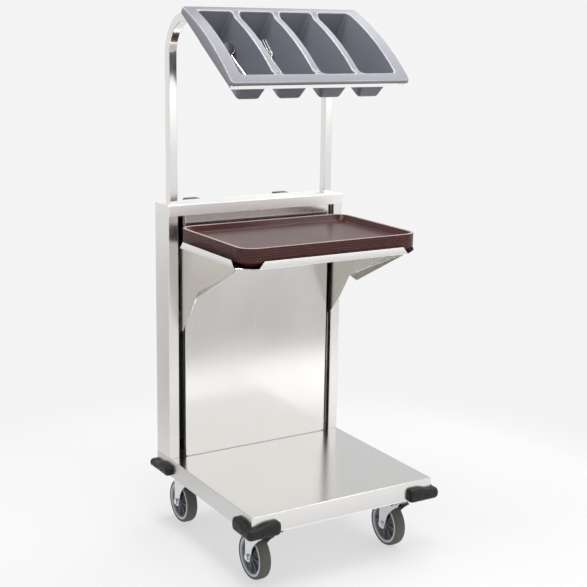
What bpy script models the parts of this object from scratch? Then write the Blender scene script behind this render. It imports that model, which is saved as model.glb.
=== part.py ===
# Cutlery and tray trolley: a low deck on four swivel castors, a slim lift tower
# with a self-levelling tray platform, and a tilted cutlery bin on two bent tubes.
# Metres, +Z up, the front of the trolley faces -Y, the floor is z = 0.
import math

import bmesh
import bpy
from mathutils import Matrix, Vector

# Start from an empty file
for old_object in list(bpy.data.objects):
    bpy.data.objects.remove(old_object, do_unlink=True)

# Shared fits
fit_gap = 0.0003
slide_gap = 0.0006
sheet_thickness = 0.0015
plate_thickness = 0.0025

# Deck
trolley_width = 0.560
deck_front_depth = 0.470
deck_rear_lip = 0.0018
deck_over_castors = 0.060
deck_skirt_height = 0.050
deck_edge_radius = 0.004

# Tower
tower_depth = 0.084
tower_height = 0.690
cap_height = 0.0294
cap_overhang = 0.0005
strip_width = 0.030
strip_return = 0.016
panel_slot_gap = 0.0115
panel_forward = 0.003
panel_return = 0.014
panel_bottom_gap = 0.002

# Rear handle
handle_bracket_width = 0.046
handle_bracket_depth = 0.056
handle_bracket_height = 0.062
handle_bracket_rise = 0.006
handle_side_inset = 0.134
handle_top_drop = 0.010
handle_bar_radius = 0.012
handle_bar_standoff = 0.038

# Corner bumpers
bumper_thickness = 0.0175
bumper_end_thickness = 0.009
bumper_arm = 0.080
bumper_rear_side_arm = 0.097
bumper_bottom_drop = 0.006
bumper_height = 0.037
bumper_rear_height = 0.029
bumper_corner_dip = 0.006
bumper_end_dip = 0.009
bumper_edge_radius = 0.007

# Castors
castor_inset_side = 0.066
castor_inset_front = 0.062
castor_inset_rear = 0.073
wheel_radius = 0.0625
tyre_width = 0.032
tyre_shoulder = 0.006
tyre_side_depth = 0.006
rim_ring_depth = 0.010
rim_face_inset = 0.001
hub_face_inset = 0.008
hub_boss_radius = 0.015
hub_boss_gap = 0.0015
axle_trail = 0.038
axle_radius = 0.005
axle_head_radius = 0.0095
axle_head_height = 0.005
fork_tyre_gap = 0.003
fork_thickness = 0.003
fork_eye_radius = 0.014
fork_front_reach = 0.034
fork_knee_forward = 0.005
fork_knee_drop = 0.050
fork_waist_forward = 0.022
fork_waist_drop = 0.074
fork_brow_forward = 0.016
fork_brow_drop = 0.028
fork_top_drop = 0.021
castor_over_wheel = 0.033
castor_plate_thickness = 0.003
castor_plate_width = 0.100
castor_plate_depth = 0.084
swivel_radius = 0.033
swivel_lower_radius = 0.030
kingpin_radius = 0.006
kingpin_head_radius = 0.0105
kingpin_head_height = 0.004

# Channels under the deck that carry the castors
channel_end_gap = 0.030
channel_width = 0.096

# Tray platform and its carriage
platform_side_inset = 0.005
platform_front = 0.400
platform_rear = 0.022
platform_floor_drop = 0.077
platform_rim_height = 0.0195
platform_corner_side = 0.039
platform_corner_front = 0.049
platform_rim_slant = 0.016
gusset_strip_gap = 0.007
gusset_front_setback = 0.062
gusset_knee_reach = 0.105
gusset_knee_drop = 0.113
gusset_hip_reach = 0.055
gusset_hip_drop = 0.188
gusset_heel_reach = 0.008
gusset_heel_drop = 0.243
gusset_back_gap = 0.024
gusset_back_drop = 0.271
gusset_lip = 0.020
gusset_top_flange = 0.020
gusset_rear_flange = 0.026
carriage_plate_drop = 0.005
carriage_plate_rise = 0.012
glide_height = 0.050
glide_depth = 0.022
glide_low_rise = 0.022
glide_high_drop = 0.041
rail_width = 0.016
rail_bottom_gap = 0.006
rail_top_gap = 0.008

# Lift springs and the beams inside the tower
spring_radius = 0.009
spring_wall = 0.0025
spring_spacing = 0.240
spring_forward = 0.026
spring_eye_height = 0.012
spring_lug_width = 0.012
top_beam_drop = 0.042
top_beam_height = 0.018
bottom_beam_height = 0.022
beam_end_gap = 0.0065

# Posts and the bin frame
tube_size = 0.025
tube_wall = 0.0018
tube_corner_radius = 0.003
post_inset = 0.0195
post_setback = 0.031
post_foot_drop = 0.066
post_mount_height = 0.050
strip_bar_thickness = 0.003
front_strip_height = 0.018
front_strip_top_drop = 0.006
rear_strip_height = 0.016
rear_strip_top_drop = 0.011
rear_strip_inset = 0.013

# Cutlery bin, in its own tilted frame
bin_side_inset = 0.015
bin_length = 0.325
bin_tilt_degrees = 33.5
bin_centre_forward = 0.1931
bin_centre_rise = 0.4317
bin_arch = 0.0165
bin_wall = 0.0025
bin_side_rim = 0.0325
bin_divider = 0.0165
bin_front_rim = 0.0265
bin_rear_rim = 0.0215
bin_pocket_depth = 0.0785
bin_side_draft = 0.018
bin_front_draft = 0.006
bin_rear_draft = 0.016
bin_bottom_rounding = 0.009
bin_divider_drop = 0.010
bin_side_skirt = 0.016
bin_end_skirt = 0.010
arm_blend_place = 0.104

# Trays
tray_count = 6
tray_side_gap = 0.010
tray_end_gap = 0.004
tray_height = 0.020
tray_pitch = 0.0062
tray_wall = 0.0025
tray_corner_radius = 0.042
tray_rim_width = 0.008
tray_wall_run = 0.015
tray_floor_fillet = 0.005
tray_edge_round = 0.001

# Counts of facets
round_segments = 24
small_round_segments = 12
corner_segments = 4
tube_corner_segments = 2
bend_segments = 12
arm_segments = 6
bin_arch_segments = 8
bumper_arm_segments = 5

# Places worked out from the sizes above
half_width = trolley_width / 2
front_limit = deck_front_depth + fit_gap + bumper_thickness
rear_limit = tower_depth + fit_gap + handle_bracket_depth
tower_front_y = (front_limit - rear_limit) / 2
deck_rear_depth = tower_depth + deck_rear_lip

castor_height = 2 * wheel_radius + castor_over_wheel
fork_top_height = castor_height - fork_top_drop
fork_brow_height = castor_height - fork_brow_drop
fork_knee_height = castor_height - fork_knee_drop
fork_waist_height = castor_height - fork_waist_drop
fork_back_reach = axle_trail + fork_eye_radius
fork_inner_half_width = tyre_width / 2 + fork_tyre_gap
hub_boss_half_width = fork_inner_half_width - hub_boss_gap
castor_x = half_width - castor_inset_side
castor_front_y = castor_inset_front - deck_front_depth
castor_rear_y = deck_rear_depth - castor_inset_rear
channel_half_length = half_width - channel_end_gap

deck_height = castor_height + deck_over_castors
deck_underside = deck_height - sheet_thickness
skirt_bottom = deck_height - deck_skirt_height

tower_shoulder_height = deck_height + tower_height
cap_top = tower_shoulder_height + cap_height
tower_inner_back = tower_depth - sheet_thickness - fit_gap
rail_top = tower_shoulder_height - rail_top_gap
top_beam_underside = tower_shoulder_height - top_beam_drop
post_foot_height = tower_shoulder_height - post_foot_drop
handle_half_spacing = half_width - handle_side_inset

gusset_half_spacing = half_width - strip_width - gusset_strip_gap
panel_half_width = gusset_half_spacing - panel_slot_gap
panel_back = sheet_thickness - panel_forward
beam_half_width = panel_half_width - beam_end_gap

platform_half_width = half_width - platform_side_inset
platform_floor_height = tower_shoulder_height - platform_floor_drop
platform_floor_top = platform_floor_height + sheet_thickness
platform_middle_y = -(platform_front + platform_rear) / 2
gusset_front_reach = platform_front - gusset_front_setback
gusset_back = tower_depth - gusset_back_gap
gusset_knee_height = platform_floor_height - gusset_knee_drop
gusset_hip_height = platform_floor_height - gusset_hip_drop
gusset_heel_height = platform_floor_height - gusset_heel_drop
gusset_back_height = platform_floor_height - gusset_back_drop
carriage_plate_back = gusset_back - plate_thickness - fit_gap
carriage_plate_top = platform_floor_height - carriage_plate_drop
carriage_plate_bottom = gusset_heel_height + carriage_plate_rise
glide_front = carriage_plate_back - glide_depth
glide_high_centre = platform_floor_height - glide_high_drop
glide_low_centre = gusset_heel_height + glide_low_rise

tray_width = 2 * (platform_half_width - tray_side_gap)
tray_depth = platform_front - platform_rear - 2 * tray_end_gap

bin_tilt = math.radians(bin_tilt_degrees)
bin_width = 2 * (half_width - bin_side_inset)
bin_pocket_half_span = bin_width / 2 - bin_side_rim
bin_centre_height = cap_top + bin_centre_rise
front_strip_place = -bin_length / 2 + 2 * bin_wall + fit_gap
rear_strip_place = bin_length / 2 - rear_strip_inset

collection = bpy.data.collections.new("tray_trolley")
bpy.context.scene.collection.children.link(collection)
cutters = bpy.data.collections.new("cutters")
bpy.context.scene.collection.children.link(cutters)


def material(name, colour, metallic, roughness):
    made = bpy.data.materials.new(name)
    made.use_nodes = True
    shader = made.node_tree.nodes["Principled BSDF"]
    shader.inputs["Base Color"].default_value = (*colour, 1)
    shader.inputs["Metallic"].default_value = metallic
    shader.inputs["Roughness"].default_value = roughness
    made.diffuse_color = (*colour, 1)
    return made


STEEL = ((0.66, 0.65, 0.63), 1.0, 0.32)
ZINC = ((0.72, 0.73, 0.74), 1.0, 0.25)
SPRING_STEEL = ((0.45, 0.45, 0.47), 1.0, 0.35)
BLACK_PLASTIC = ((0.020, 0.020, 0.021), 0.0, 0.55)
GREY_PLASTIC = ((0.42, 0.42, 0.47), 0.0, 0.40)
NYLON = ((0.80, 0.79, 0.74), 0.0, 0.45)
TRAY_BROWN = ((0.070, 0.022, 0.020), 0.0, 0.35)
TYRE_GREY = ((0.060, 0.060, 0.057), 0.0, 0.70)
RIM_GREY = ((0.40, 0.42, 0.45), 0.0, 0.45)


def add(name, mesh, finish, origin=(0, 0, 0), home=None):
    """Put a mesh in the part, its origin measured from the tower's front on the floor."""
    made = bpy.data.objects.new(name, mesh)
    made.location = (origin[0], origin[1] + tower_front_y, origin[2])
    if not mesh.materials:
        mesh.materials.append(material(name, *finish))
    (home or collection).objects.link(made)
    return made


def mesh_of(name, points, faces, origin=(0, 0, 0)):
    """A mesh from points measured like the part and stored about its origin."""
    mesh = bpy.data.meshes.new(name)
    moved = [Vector(point) - Vector(origin) for point in points]
    mesh.from_pydata(moved, [], faces)
    tidy = bmesh.new()
    tidy.from_mesh(mesh)
    bmesh.ops.recalc_face_normals(tidy, faces=tidy.faces)
    tidy.to_mesh(mesh)
    tidy.free()
    return mesh


def box_points(low, high):
    return [(x, y, z) for z in (low[2], high[2]) for y in (low[1], high[1]) for x in (low[0], high[0])]


BOX_FACES = [(0, 2, 3, 1), (4, 5, 7, 6), (0, 1, 5, 4), (2, 6, 7, 3), (0, 4, 6, 2), (1, 3, 7, 5)]


def box(name, low, high, finish, origin=(0, 0, 0), home=None):
    return add(name, mesh_of(name, box_points(low, high), BOX_FACES, origin), finish, origin, home)


def loft_faces(size, rows, capped=True):
    """Faces of a tube of equal rings, with its two ends closed or open."""
    faces = []
    for row in range(rows - 1):
        for i in range(size):
            j = (i + 1) % size
            faces.append((row * size + i, row * size + j, (row + 1) * size + j, (row + 1) * size + i))
    if capped:
        faces.append(tuple(range(size)))
        faces.append(tuple(range((rows - 1) * size, rows * size)))
    return faces


def cylinder(name, radius, start, end, finish, origin=(0, 0, 0), segments=round_segments, home=None):
    """A round bar between two points."""
    start, end = Vector(start), Vector(end)
    turn = (end - start).to_track_quat("Z", "Y").to_matrix().to_4x4()
    middle = (start + end) / 2 - Vector(origin)
    shape = bmesh.new()
    bmesh.ops.create_cone(shape, cap_ends=True, segments=segments, radius1=radius, radius2=radius,
                          depth=(end - start).length, matrix=Matrix.Translation(middle) @ turn)
    mesh = bpy.data.meshes.new(name)
    shape.to_mesh(mesh)
    shape.free()
    return add(name, mesh, finish, origin, home)


def solidify(made, thickness, offset=-1.0):
    """Give a surface its sheet thickness, on the side away from its normals."""
    wall = made.modifiers.new("sheet", "SOLIDIFY")
    wall.solidify_mode = "NON_MANIFOLD"
    wall.nonmanifold_thickness_mode = "CONSTRAINTS"
    wall.thickness = thickness
    wall.offset = offset
    return made


def bevel(made, width, segments=2, limit_degrees=40):
    round_off = made.modifiers.new("rounding", "BEVEL")
    round_off.width = width
    round_off.segments = segments
    round_off.limit_method = "ANGLE"
    round_off.angle_limit = math.radians(limit_degrees)
    return made


def boolean(made, other, operation):
    """Cut with, or join, another object that is then kept out of the part."""
    step = made.modifiers.new(operation.lower(), "BOOLEAN")
    step.object = other
    step.operation = operation
    step.solver = "EXACT"
    for owner in list(other.users_collection):
        owner.objects.unlink(other)
    cutters.objects.link(other)
    other.hide_render = True
    other.display_type = "WIRE"
    return made


def baked(name, made):
    """The finished mesh of an object, for sharing between copies."""
    bpy.context.view_layer.update()
    graph = bpy.context.evaluated_depsgraph_get()
    mesh = bpy.data.meshes.new_from_object(made.evaluated_get(graph))
    mesh.name = name
    for modifier in list(made.modifiers):
        other = getattr(modifier, "object", None)
        made.modifiers.remove(modifier)
        if other:
            bpy.data.objects.remove(other, do_unlink=True)
    bpy.data.objects.remove(made, do_unlink=True)
    mesh.materials.clear()
    return mesh


def folded(name, path, low, high, thickness, finish, grows_right):
    """Sheet bent along an open path of (x, y) points, seen from above, from low to high."""
    points = [(x, y, z) for z in (low, high) for x, y in path]
    count = len(path)
    faces = [(i, i + 1, i + 1 + count, i + count) for i in range(count - 1)]
    mesh = bpy.data.meshes.new(name)
    mesh.from_pydata(points, [], faces)
    made = add(name, mesh, finish)
    return solidify(made, thickness, 1.0 if grows_right else -1.0)


def open_box(name, low, high, finish):
    """The five upper walls of a box, for the deck pan and the tower's cap."""
    made = add(name, mesh_of(name, box_points(low, high), BOX_FACES), finish)
    shape = bmesh.new()
    shape.from_mesh(made.data)
    underside = min(shape.faces, key=lambda face: face.calc_center_median().z)
    bmesh.ops.delete(shape, geom=[underside], context="FACES_ONLY")
    shape.to_mesh(made.data)
    shape.free()
    return made


def channel(name, path, half_length):
    """Plate bent along a path of (y, z) points, its lowest fold's underside where it is drawn."""
    points = [(x, y, z) for x in (-half_length, half_length) for y, z in path]
    count = len(path)
    faces = [(i, i + 1, i + 1 + count, i + count) for i in range(count - 1)]
    made = add(name, mesh_of(name, points, faces), STEEL)
    web = min(made.data.polygons, key=lambda face: face.center.z)
    return solidify(made, plate_thickness, -1.0 if web.normal.z < 0 else 1.0)


# Deck: a folded pan, open underneath
def build_deck():
    low = (-half_width, -deck_front_depth, skirt_bottom)
    high = (half_width, deck_rear_depth, deck_height)
    deck = open_box("deck_pan", low, high, STEEL)
    bevel(deck, deck_edge_radius)
    solidify(deck, sheet_thickness)


def build_castor_channel(name, centre_y):
    half = channel_width / 2
    web = castor_height + fit_gap
    top = deck_underside - fit_gap
    path = [(centre_y - half, top), (centre_y - half, web), (centre_y + half, web), (centre_y + half, top)]
    channel(name, path, channel_half_length)


# Tower: housing with folded front strips, front panel, cap
def build_tower():
    x_strip = half_width - strip_width
    path = [(-x_strip, strip_return), (-x_strip, 0), (-half_width, 0), (-half_width, tower_depth),
            (half_width, tower_depth), (half_width, 0), (x_strip, 0), (x_strip, strip_return)]
    housing_top = tower_shoulder_height - fit_gap
    folded("tower_housing", path, deck_height + fit_gap, housing_top, sheet_thickness, STEEL, True)
    add_panel()
    low = (-half_width, -cap_overhang - panel_forward, tower_shoulder_height)
    high = (half_width, tower_depth, cap_top)
    cap = open_box("tower_cap", low, high, STEEL)
    solidify(cap, sheet_thickness)
    for side in (-1, 1):
        near, far = sorted((side * (half_width - post_inset + slide_gap),
                            side * (half_width - post_inset - tube_size - slide_gap)))
        hole = box("cap_hole", (near, post_setback - slide_gap, tower_shoulder_height),
                   (far, post_setback + tube_size + slide_gap, cap_top + cap_height), STEEL, home=cutters)
        boolean(cap, hole, "DIFFERENCE")


def add_panel():
    front = -panel_forward
    path = [(-panel_half_width, front + panel_return), (-panel_half_width, front),
            (panel_half_width, front), (panel_half_width, front + panel_return)]
    top = tower_shoulder_height - fit_gap
    folded("front_panel", path, deck_height + panel_bottom_gap, top, sheet_thickness, STEEL, False)


# Beams that tie the front panel to the back and hold the springs
def build_beams():
    front = panel_back + fit_gap
    rear = tower_inner_back
    top_low = top_beam_underside
    top_high = top_beam_underside + top_beam_height
    top_path = [(front, top_high), (front, top_low), (rear, top_low), (rear, top_high)]
    channel("top_beam", top_path, beam_half_width)
    bottom_low = deck_height + fit_gap
    bottom_high = bottom_low + bottom_beam_height
    bottom_path = [(front, bottom_high), (front, bottom_low), (rear, bottom_low), (rear, bottom_high)]
    channel("bottom_beam", bottom_path, beam_half_width)


def build_rails():
    front = glide_front - slide_gap - sheet_thickness
    back = carriage_plate_back + slide_gap + sheet_thickness
    outer = half_width - sheet_thickness - fit_gap
    inner = outer - rail_width
    low = deck_height + rail_bottom_gap
    for side, name in ((-1, "guide_rail_left"), (1, "guide_rail_right")):
        path = [(side * inner, front), (side * outer, front), (side * outer, back), (side * inner, back)]
        folded(name, path, low, rail_top, sheet_thickness, STEEL, side < 0)


# Rear push handle
def build_handle():
    top = cap_top - handle_top_drop
    low = top - handle_bracket_height
    front = tower_depth + fit_gap
    back = front + handle_bracket_depth
    bar_y = tower_depth + handle_bar_standoff
    bar_z = (low + top - handle_bracket_rise) / 2
    half = handle_bracket_width / 2
    for side, name in ((-1, "handle_bracket_left"), (1, "handle_bracket_right")):
        centre = side * handle_half_spacing
        shoulder = top - handle_bracket_rise
        crest = top - handle_bracket_rise / 4
        crown = [(centre - half, low), (centre + half, low), (centre + half, shoulder),
                 (centre + half / 2, crest), (centre, top),
                 (centre - half / 2, crest), (centre - half, shoulder)]
        count = len(crown)
        points = [(x, y, z) for y in (front, back) for x, z in crown]
        faces = [tuple(range(count)), tuple(range(2 * count - 1, count - 1, -1))]
        faces += [(i, (i + 1) % count, (i + 1) % count + count, i + count) for i in range(count)]
        bracket = add(name, mesh_of(name, points, faces), BLACK_PLASTIC)
        bevel(bracket, deck_edge_radius, 1)
        socket = cylinder("handle_socket", handle_bar_radius + fit_gap,
                          (centre - side * handle_bracket_width, bar_y, bar_z),
                          (centre + side * half / 2, bar_y, bar_z), STEEL, home=cutters)
        boolean(bracket, socket, "DIFFERENCE")
    reach = handle_half_spacing + handle_bracket_width / 4 - fit_gap
    cylinder("handle_bar", handle_bar_radius, (-reach, bar_y, bar_z), (reach, bar_y, bar_z), STEEL)


# Corner bumpers: a bulging strip bent round each corner of the skirt
def bumper_arm_sections(arm, low, top):
    """Sections of one arm from its end to the corner: distance from the corner and outline."""
    sections = []
    for step in range(bumper_arm_segments + 1):
        share = step / bumper_arm_segments
        swell = math.sin(math.pi / 2 * min(1, 2 * share))
        reach = bumper_end_thickness + (bumper_thickness - bumper_end_thickness) * swell
        dip = bumper_end_dip * (1 - swell) + bumper_corner_dip * share ** bumper_arm_segments
        crest = top - dip
        edge = bumper_edge_radius
        outline = [(0, low), (reach - edge, low), (reach, low + edge),
                   (reach, crest - edge), (reach - edge, crest), (0, crest)]
        sections.append((arm * (1 - share), outline))
    return sections


def build_bumper(name, corner_x, corner_y):
    """One arm runs along the skirt's side, the other along its end, and they share the corner."""
    side_x = 1 if corner_x > 0 else -1
    side_y = 1 if corner_y > 0 else -1
    top = skirt_bottom - bumper_bottom_drop + bumper_height
    at_front = corner_y < 0
    low = top - (bumper_height if at_front else bumper_rear_height)
    side_arm = bumper_arm_sections(bumper_arm if at_front else bumper_rear_side_arm, low, top)
    end_arm = bumper_arm_sections(bumper_arm, low, top)
    points = []
    for along, outline in side_arm[:-1]:
        points += [(fit_gap + out, -along, z) for out, z in outline]
    points += [(fit_gap + out, fit_gap + out, z) for out, z in side_arm[-1][1]]
    for along, outline in reversed(end_arm[:-1]):
        points += [(-along, fit_gap + out, z) for out, z in outline]
    points = [(corner_x + side_x * x, corner_y + side_y * y, z) for x, y, z in points]
    size = len(side_arm[0][1])
    return add(name, mesh_of(name, points, loft_faces(size, len(points) // size)), BLACK_PLASTIC)


def build_bumpers():
    build_bumper("bumper_front_left", -half_width, -deck_front_depth)
    build_bumper("bumper_front_right", half_width, -deck_front_depth)
    build_bumper("bumper_rear_left", -half_width, deck_rear_depth)
    build_bumper("bumper_rear_right", half_width, deck_rear_depth)


# Castors
def turned_mesh(name, profile, segments):
    """A closed profile of (radius, x) points turned about the x axis."""
    count = len(profile)
    points = []
    for step in range(segments):
        angle = 2 * math.pi * step / segments
        points += [(x, r * math.cos(angle), r * math.sin(angle)) for r, x in profile]
    faces = []
    for step in range(segments):
        following = (step + 1) % segments
        for i in range(count):
            j = (i + 1) % count
            faces.append((step * count + i, step * count + j, following * count + j, following * count + i))
    return mesh_of(name, points, faces)


def tyre_mesh():
    half = tyre_width / 2
    inner = wheel_radius - tyre_side_depth
    profile = [(inner, -half + rim_face_inset), (wheel_radius - tyre_shoulder, -half),
               (wheel_radius - tyre_shoulder / 4, -half + tyre_shoulder * 3 / 4),
               (wheel_radius, -half + tyre_shoulder * 3 / 2),
               (wheel_radius, half - tyre_shoulder * 3 / 2),
               (wheel_radius - tyre_shoulder / 4, half - tyre_shoulder * 3 / 4),
               (wheel_radius - tyre_shoulder, half), (inner, half - rim_face_inset)]
    return turned_mesh("tyre", profile, round_segments)


def wheel_mesh():
    half = tyre_width / 2 - rim_face_inset
    outer = wheel_radius - tyre_side_depth - fit_gap
    ring = outer - rim_ring_depth
    web = tyre_width / 2 - hub_face_inset
    bore = axle_radius + fit_gap
    right = [(bore, hub_boss_half_width), (hub_boss_radius, hub_boss_half_width),
             (hub_boss_radius, web), (ring, web), (ring, half), (outer, half)]
    profile = right + [(r, -x) for r, x in reversed(right)]
    return turned_mesh("wheel", profile, round_segments)


def fork_mesh():
    """Fork about its swivel axis: two legs, a bridge and a round crown, with holes."""
    eye = (axle_trail, wheel_radius)
    lower_eye = [(eye[0] + fork_eye_radius * math.cos(angle), eye[1] + fork_eye_radius * math.sin(angle))
                 for angle in (math.radians(-turn) for turn in (0, 45, 90, 135))]
    outline = [(fork_back_reach, fork_top_height)] + lower_eye + [
        (fork_waist_forward, fork_waist_height), (fork_knee_forward, fork_knee_height),
        (-fork_brow_forward, fork_brow_height), (-fork_front_reach, fork_top_height)]
    count = len(outline)
    inner = fork_inner_half_width
    outer = inner + fork_thickness
    legs = []
    for side in (-1, 1):
        points = [(side * x, y, z) for x in (inner, outer) for y, z in outline]
        faces = [tuple(range(count)), tuple(range(2 * count - 1, count - 1, -1))]
        faces += [(i, (i + 1) % count, (i + 1) % count + count, i + count) for i in range(count)]
        legs.append(add("fork_leg", mesh_of("fork_leg", points, faces), ZINC))
    bridge_low = fork_top_height - fork_thickness
    bridge = box("fork_bridge", (-outer, -fork_front_reach, bridge_low),
                 (outer, fork_back_reach, fork_top_height), ZINC)
    crown_top = castor_height - castor_plate_thickness - swivel_cup_height() - fit_gap
    crown = cylinder("fork_crown", swivel_lower_radius, (0, 0, bridge_low), (0, 0, crown_top), ZINC)
    kingpin_hole = cylinder("kingpin_hole", kingpin_radius + slide_gap, (0, 0, wheel_radius * 2),
                            (0, 0, castor_height), ZINC, segments=small_round_segments, home=cutters)
    axle_hole = cylinder("axle_hole", axle_radius + fit_gap, (-outer * 2, axle_trail, wheel_radius),
                         (outer * 2, axle_trail, wheel_radius), ZINC,
                         segments=small_round_segments, home=cutters)
    for piece in legs + [crown]:
        boolean(bridge, piece, "UNION")
    boolean(bridge, kingpin_hole, "DIFFERENCE")
    boolean(bridge, axle_hole, "DIFFERENCE")
    return baked("castor_fork", bridge)


def swivel_cup_height():
    return (castor_height - castor_plate_thickness - fork_top_height) / 2


def castor_plate_mesh():
    """Top plate with the upper swivel cup and the kingpin, as one pressed and riveted piece."""
    under = castor_height - castor_plate_thickness
    plate = box("plate", (-castor_plate_width / 2, -castor_plate_depth / 2, under),
                (castor_plate_width / 2, castor_plate_depth / 2, castor_height), ZINC)
    cup = cylinder("cup", swivel_radius, (0, 0, under - swivel_cup_height()),
                   (0, 0, under + castor_plate_thickness / 2), ZINC)
    head_low = fork_top_height - fork_thickness - slide_gap - kingpin_head_height
    pin = cylinder("pin", kingpin_radius, (0, 0, head_low + kingpin_head_height / 2),
                   (0, 0, under), ZINC, segments=small_round_segments)
    head = cylinder("head", kingpin_head_radius, (0, 0, head_low),
                    (0, 0, head_low + kingpin_head_height), ZINC, segments=small_round_segments)
    for piece in (cup, pin, head):
        boolean(plate, piece, "UNION")
    return baked("castor_plate", plate)


def axle_mesh():
    outer = fork_inner_half_width + fork_thickness + fit_gap
    rod = cylinder("axle", axle_radius, (-outer - axle_head_height / 2, 0, 0),
                   (outer + axle_head_height / 2, 0, 0), ZINC, segments=small_round_segments)
    for side in (-1, 1):
        head = cylinder("axle_head", axle_head_radius, (side * outer, 0, 0),
                        (side * (outer + axle_head_height), 0, 0), ZINC, segments=6)
        boolean(rod, head, "UNION")
    return baked("castor_axle", rod)


def build_castors():
    plate, fork, wheel = castor_plate_mesh(), fork_mesh(), wheel_mesh()
    tyre, axle = tyre_mesh(), axle_mesh()
    places = (("front_left", -castor_x, castor_front_y), ("front_right", castor_x, castor_front_y),
              ("rear_left", -castor_x, castor_rear_y), ("rear_right", castor_x, castor_rear_y))
    for name, x, y in places:
        on_swivel = (x, y, 0)
        on_axle = (x, y + axle_trail, wheel_radius)
        shapes = (("plate", plate, on_swivel, ZINC), ("fork", fork, on_swivel, ZINC),
                  ("axle", axle, on_axle, ZINC), ("wheel", wheel, on_axle, RIM_GREY),
                  ("tyre", tyre, on_axle, TYRE_GREY))
        for piece, mesh, place, finish in shapes:
            copy = mesh.copy()
            copy.materials.clear()
            add(f"castor_{name}_{piece}", copy, finish, place)


# Tray platform, gussets and carriage, which ride up and down together
lift_origin = (0, gusset_back, platform_floor_height)


def build_platform():
    w, f, r = platform_half_width, -platform_front, -platform_rear
    side, end, slant = platform_corner_side, platform_corner_front, platform_rim_slant
    low = platform_floor_height
    high = low + platform_rim_height
    floor = [(-w + end, f), (w - end, f), (w, f + side), (w, r - side),
             (w - end, r), (-w + end, r), (-w, r - side), (-w, f + side)]
    points = [(x, y, low) for x, y in floor]
    points += [(-w + end + slant, f, high), (w - end - slant, f, high),
               (w, f + side + slant, high), (w, r - side - slant, high),
               (w - end - slant, r, high), (-w + end + slant, r, high),
               (-w, r - side - slant, high), (-w, f + side + slant, high)]
    faces = [tuple(range(8)), (0, 1, 9, 8), (2, 3, 11, 10), (4, 5, 13, 12), (6, 7, 15, 14)]
    mesh = mesh_of("tray_platform", points, faces, lift_origin)
    platform = add("tray_platform", mesh, STEEL, lift_origin)
    bottom = min(platform.data.polygons, key=lambda face: face.center.z)
    solidify(platform, sheet_thickness, 1.0 if bottom.normal.z > 0 else -1.0)


def build_gusset(name, side):
    """Side plate through the slot: web, turned-out lip below, flanges above and behind."""
    x = side * (gusset_half_spacing + plate_thickness / 2)
    top = platform_floor_height - fit_gap
    flat = math.sqrt(1 / 2)
    outward = side * gusset_lip * flat
    outline = [(-gusset_front_reach, top), (-gusset_knee_reach, gusset_knee_height),
               (-gusset_hip_reach, gusset_hip_height), (-gusset_heel_reach, gusset_heel_height),
               (gusset_back, gusset_back_height), (gusset_back, top)]
    points = [(x, y, z) for y, z in outline]
    inward = -side * gusset_top_flange
    rear_inward = -side * gusset_rear_flange
    lip_drop = gusset_lip * flat
    points += [(x + outward, -gusset_front_reach, top - lip_drop),
               (x + outward, -gusset_knee_reach - lip_drop, gusset_knee_height - lip_drop)]
    points += [(x + inward, -gusset_front_reach, top), (x + inward, -platform_rear, top),
               (x, -platform_rear, top)]
    points += [(x + rear_inward, gusset_back, gusset_back_height),
               (x + rear_inward, gusset_back, carriage_plate_top), (x, gusset_back, carriage_plate_top)]
    web = (0, 1, 2, 3, 4, 13, 5, 10)
    faces = [web, (0, 6, 7, 1), (0, 10, 9, 8), (4, 11, 12, 13)]
    gusset = add(name, mesh_of(name, points, faces, lift_origin), STEEL, lift_origin)
    face = max(gusset.data.polygons, key=lambda polygon: polygon.area)
    outside = face.normal.x * side > 0
    solidify(gusset, plate_thickness, -1.0 if outside else 1.0)
    return gusset


def build_carriage():
    build_platform()
    build_gusset("gusset_left", -1)
    build_gusset("gusset_right", 1)
    inner = gusset_half_spacing - plate_thickness / 2 - fit_gap
    plate_front = carriage_plate_back - plate_thickness
    plate = box("carriage_plate", (-inner, plate_front, carriage_plate_bottom),
                (inner, carriage_plate_back, carriage_plate_top), STEEL, lift_origin)
    lug_low = carriage_plate_bottom
    for side in (-1, 1):
        middle = side * spring_spacing / 2
        lug = box("spring_lug", (middle - spring_lug_width / 2, spring_forward - spring_radius, lug_low),
                  (middle + spring_lug_width / 2, plate_front + plate_thickness / 2,
                   lug_low + spring_eye_height), STEEL)
        boolean(plate, lug, "UNION")
    outer = half_width - sheet_thickness - fit_gap - sheet_thickness - slide_gap
    near = gusset_half_spacing + plate_thickness / 2 + fit_gap
    for side, hand in ((-1, "left"), (1, "right")):
        for centre, level in ((glide_low_centre, "low"), (glide_high_centre, "high")):
            x_low, x_high = sorted((side * near, side * outer))
            box(f"glide_{hand}_{level}", (x_low, glide_front, centre - glide_height / 2),
                (x_high, carriage_plate_back, centre + glide_height / 2), NYLON, lift_origin)


def build_springs():
    low = carriage_plate_bottom + spring_eye_height + fit_gap
    high = top_beam_underside - fit_gap
    for side, hand in ((-1, "left"), (1, "right")):
        x = side * spring_spacing / 2
        origin = (x, spring_forward, high)
        spring = cylinder(f"lift_spring_{hand}", spring_radius, (x, spring_forward, low),
                          (x, spring_forward, high), SPRING_STEEL, origin, small_round_segments)
        core = cylinder("spring_core", spring_radius - spring_wall, (x, spring_forward, low - spring_wall),
                        (x, spring_forward, high + spring_wall), SPRING_STEEL, origin,
                        small_round_segments, cutters)
        boolean(spring, core, "DIFFERENCE")


# Bin frame: the posts bend forward into arms that carry the bin's side rims
def bin_point(across, up_slope, above):
    """A point of the bin's tilted frame, measured like the rest of the part."""
    return (across,
            -bin_centre_forward + up_slope * math.cos(bin_tilt) - above * math.sin(bin_tilt),
            bin_centre_height + up_slope * math.sin(bin_tilt) + above * math.cos(bin_tilt))


def arch_at(up_slope):
    share = up_slope / (bin_length / 2)
    return bin_arch * (1 - share * share)


def arch_lean(up_slope):
    return math.atan2(2 * bin_arch * up_slope, (bin_length / 2) ** 2)


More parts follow.
